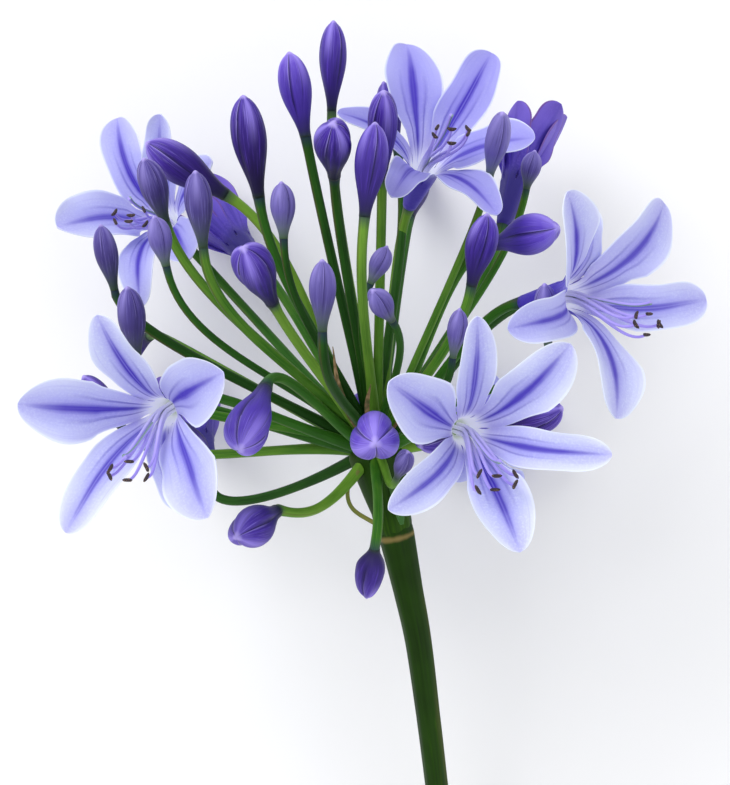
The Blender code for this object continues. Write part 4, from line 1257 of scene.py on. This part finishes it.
def filament_path(foot, reach, sag, turn, neck, spread):
    """The middle line of one thread, which leaves along the flower's axis, sags and turns up."""
    axis = turn @ Vector((0.0, 0.0, 1.0))
    start = neck + turn @ foot
    mouth = start + axis * (TUBE_LENGTH - foot.z)
    down = SAG_DIRECTION - axis * SAG_DIRECTION.dot(axis)
    end = neck + axis * (TUBE_LENGTH + reach) + down * sag + spread
    leave = mouth + axis * reach * FILAMENT_LEAVING
    arrive = end - axis * reach * FILAMENT_ARRIVING + down * sag * FILAMENT_UPTURN
    return [start] + bezier(mouth, leave, arrive, end, FILAMENT_STEPS)


def anther_solid(end, lie, up):
    """A short bean with a groove along each side, as points and faces."""
    side = lie.cross(up).normalized()
    up = side.cross(lie).normalized()
    points = []
    for ring in range(ANTHER_RINGS):
        place = -1.0 + 2.0 * ring / (ANTHER_RINGS - 1)
        radius = ANTHER_RADIUS * max(0.12, (1.0 - abs(place) ** ANTHER_ROUNDING) ** 0.5)
        middle = end + lie * (place * ANTHER_LENGTH / 2) + up * (ANTHER_BOW * place * place)
        for step in range(ANTHER_SIDES):
            angle = math.tau * step / ANTHER_SIDES
            off_groove = (abs(angle - math.pi) - math.pi / 2) / GROOVE_WIDTH
            groove = 1.0 - GROOVE_DEPTH * math.exp(-off_groove ** 2)
            outward = side * math.cos(angle) * ANTHER_WIDTH_SHARE + up * math.sin(angle)
            points.append(middle + outward * radius * groove)
    return points, tube_faces(ANTHER_RINGS, ANTHER_SIDES)


def pollen_tree():
    """The node tree that dusts anthers with grains of pollen."""
    tree, given = new_growth("pollen", (
        ("Anthers", "Geometry"), ("Grains per square metre", "Float"), ("Grain radius", "Float"),
        ("Seed", "Int"), ("Pollen", "Material")))
    spots = add(tree, "GeometryNodeDistributePointsOnFaces", inputs={
        "Mesh": given["Anthers"], "Density": given["Grains per square metre"], "Seed": given["Seed"]})
    grain = add(tree, "GeometryNodeMeshIcoSphere", inputs={
        "Radius": given["Grain radius"], "Subdivisions": 1})
    size = add(tree, "FunctionNodeRandomValue", inputs={2: 0.6, 3: 1.3, "Seed": given["Seed"]})
    grains = add(tree, "GeometryNodeInstanceOnPoints", inputs={
        "Points": spots.outputs["Points"], "Instance": grain.outputs["Mesh"], "Scale": size.outputs[1]})
    end_growth(tree, grains.outputs["Instances"], given["Pollen"])
    return tree


# Filament: a thin living thread, lilac and almost white at its foot, with a damp shine
thread_skin, tree, shader = new_material("damp_filament", roughness=0.35, ior=1.4)
run = add(tree, "ShaderNodeAttribute", {"attribute_name": "run"})
share = add(tree, "ShaderNodeMapRange", inputs={"Value": run.outputs["Fac"], "From Max": 34 * MM})
by_length = add(tree, "ShaderNodeValToRGB", inputs={"Fac": share.outputs["Result"]}, stops=(
    (0.0, "#eef0f8"), (0.3, "#dcd9f8"), (0.6, "#bcb0f2"), (1.0, "#a796ec")))
tone = add(tree, "ShaderNodeAttribute", {"attribute_name": "tone"})
unrolled = add(tree, "ShaderNodeAttribute", {"attribute_name": "unrolled"})
sides = add(tree, "ShaderNodeSeparateXYZ", inputs={"Vector": unrolled.outputs["Vector"]})
one_side = add(tree, "ShaderNodeMapRange", inputs={
    "Value": sides.outputs["X"], "From Min": -0.2, "From Max": 0.6})
greened = layered(tree, by_length.outputs["Color"], (
    (one_side.outputs["Result"], tone.outputs["Fac"], "#5f9152"),))
tree.links.new(greened, shader.inputs["Base Color"])

# Anther wall: dry, dark brown and nearly black, finely wrinkled
anther_wall = mottled("dry_anther_wall", 2400.0, 3.0, (
    (0.3, "#1c1420"), (0.6, "#33242a"), (0.8, "#4c3834")), 0.6, wrinkle=0.5)
# Pollen: dry tan grains, drawn a few times their real size so that they show
pollen = mottled("tan_pollen", 3000.0, 2.0, ((0.35, "#6e5238"), (0.65, "#a9865a")), 0.85)
# Ovary: smooth, firm and green, like a young pod
ovary_skin = mottled("young_pod_skin", 900.0, 2.0, ((0.3, "#6f9a4a"), (0.7, "#a3c07a")), 0.4)

dusting = pollen_tree()
for number, (name, mouth, axis, tepals) in enumerate(BLOOMS):
    rng = random.Random(name)
    axis, turn, neck, openness = stance(mouth, axis, tepals)
    across = axis.cross(SAG_DIRECTION).normalized()
    down = across.cross(axis)
    reach_share = CLOSED_REACH + (1.0 - CLOSED_REACH) * openness
    runs = []
    anthers = []
    for index in range(STAMENS):
        angle = math.tau * (index + 0.5) / STAMENS
        outward = Vector((math.cos(angle), math.sin(angle), 0.0))
        foot = outward * FILAMENT_FOOT_RADIUS
        foot.z = FILAMENT_FOOT_HEIGHT
        out = turn @ outward
        spread = across * out.dot(across) + down * out.dot(down) * SPREAD_ALONG_SAG
        spread = spread * STAMEN_SPREAD * openness + out * LEAST_SPREAD
        reach = (STAMEN_REACH + rng.uniform(-STAMEN_VARIATION, STAMEN_VARIATION)) * reach_share
        sag = (STAMEN_SAG + rng.uniform(-STAMEN_VARIATION, STAMEN_VARIATION)) * openness
        path = filament_path(foot, reach, sag, turn, neck, spread)
        last = len(path) - 1
        radii = [FILAMENT_RADIUS * (1.0 - FILAMENT_TAPER * step / last) for step in range(last + 1)]
        runs.append((path, radii, 0.0))
        heading = path[-1] - path[-2]
        lie = heading.cross(out) if openness > HALF_OPEN else heading
        anthers.append(anther_solid(path[-1], lie.normalized(), heading))
    foot = Vector((0.0, 0.0, FILAMENT_FOOT_HEIGHT))
    path = filament_path(foot, STYLE_REACH * reach_share, STYLE_SAG * openness, turn, neck, Vector())
    radii = [STYLE_RADIUS] * (len(path) - 1) + [STIGMA_RADIUS]
    runs.append((path, radii, STYLE_GREEN))
    threads = plain_result(name + "_threads", path_mesh(name + "_threads", runs), skin_tree, {
        "Sides": FILAMENT_SIDES, "Rib height": 0.0, "Skin": thread_skin})
    anther_mesh = joined_mesh(name + "_anthers", anthers, anther_wall)
    grains = plain_result(name + "_pollen", anther_mesh.copy(), dusting, {
        "Grains per square metre": GRAINS_PER_SQUARE_MM / MM ** 2, "Grain radius": GRAIN_RADIUS * MM,
        "Seed": FIRST_POLLEN_SEED + number, "Pollen": pollen})
    anther_piece = placed(name + "_anthers", anther_mesh)
    pod_run = ([neck + axis * height for height, _ in OVARY], [radius for _, radius in OVARY], 0.0)
    pod = plain_result(name + "_ovary", path_mesh(name + "_ovary", [pod_run]), skin_tree, {
        "Sides": OVARY_SIDES, "Ribs": OVARY_RIBS, "Rib height": OVARY_RIB_HEIGHT * MM, "Skin": ovary_skin})
    for piece in (threads, anther_piece, grains, pod):
        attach(piece, "root")
        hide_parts(name + "_stamens")


# Studio
# A plain pale floor under soft light from above, with a broad lamp on the upper left.
# Its sizes and places are in metres.
FLOOR_REACH = 3.0
LAMPS_AIM = Vector((0.0, 0.04, 0.06))

floor_mesh = bpy.data.meshes.new("floor")
floor_corners = [(x * FLOOR_REACH, y * FLOOR_REACH, 0.0) for x, y in ((-1, -1), (1, -1), (1, 1), (-1, 1))]
floor_mesh.from_pydata(floor_corners, [], [(0, 1, 2, 3)])
# Matt paper: near white, and so dull that it shows nothing but soft shadows
paper, tree, shader = new_material("matt_studio_paper", roughness=0.9)
shader.inputs["Base Color"].default_value = linear("#f6f6f6")
floor_mesh.materials.append(paper)
floor = placed("floor", floor_mesh)

for name, place, size, power in (
    ("upper_left_softbox", (-0.7, 0.8, 1.1), 0.9, 12.0),
    ("lower_right_softbox", (0.8, -0.7, 1.0), 1.2, 3.5),
):
    lamp = placed(name, bpy.data.lights.new(name, "AREA"))
    lamp.data.size = size
    lamp.data.energy = power
    lamp.location = place
    lamp.rotation_euler = (LAMPS_AIM - Vector(place)).to_track_quat("-Z", "Y").to_euler()

world = bpy.data.worlds.new("soft_sky")
world.use_nodes = True
world.node_tree.nodes["Background"].inputs["Color"].default_value = linear("#fbfcff")
world.node_tree.nodes["Background"].inputs["Strength"].default_value = 0.8
bpy.context.scene.world = world
bpy.context.scene.view_settings.view_transform = "Standard"
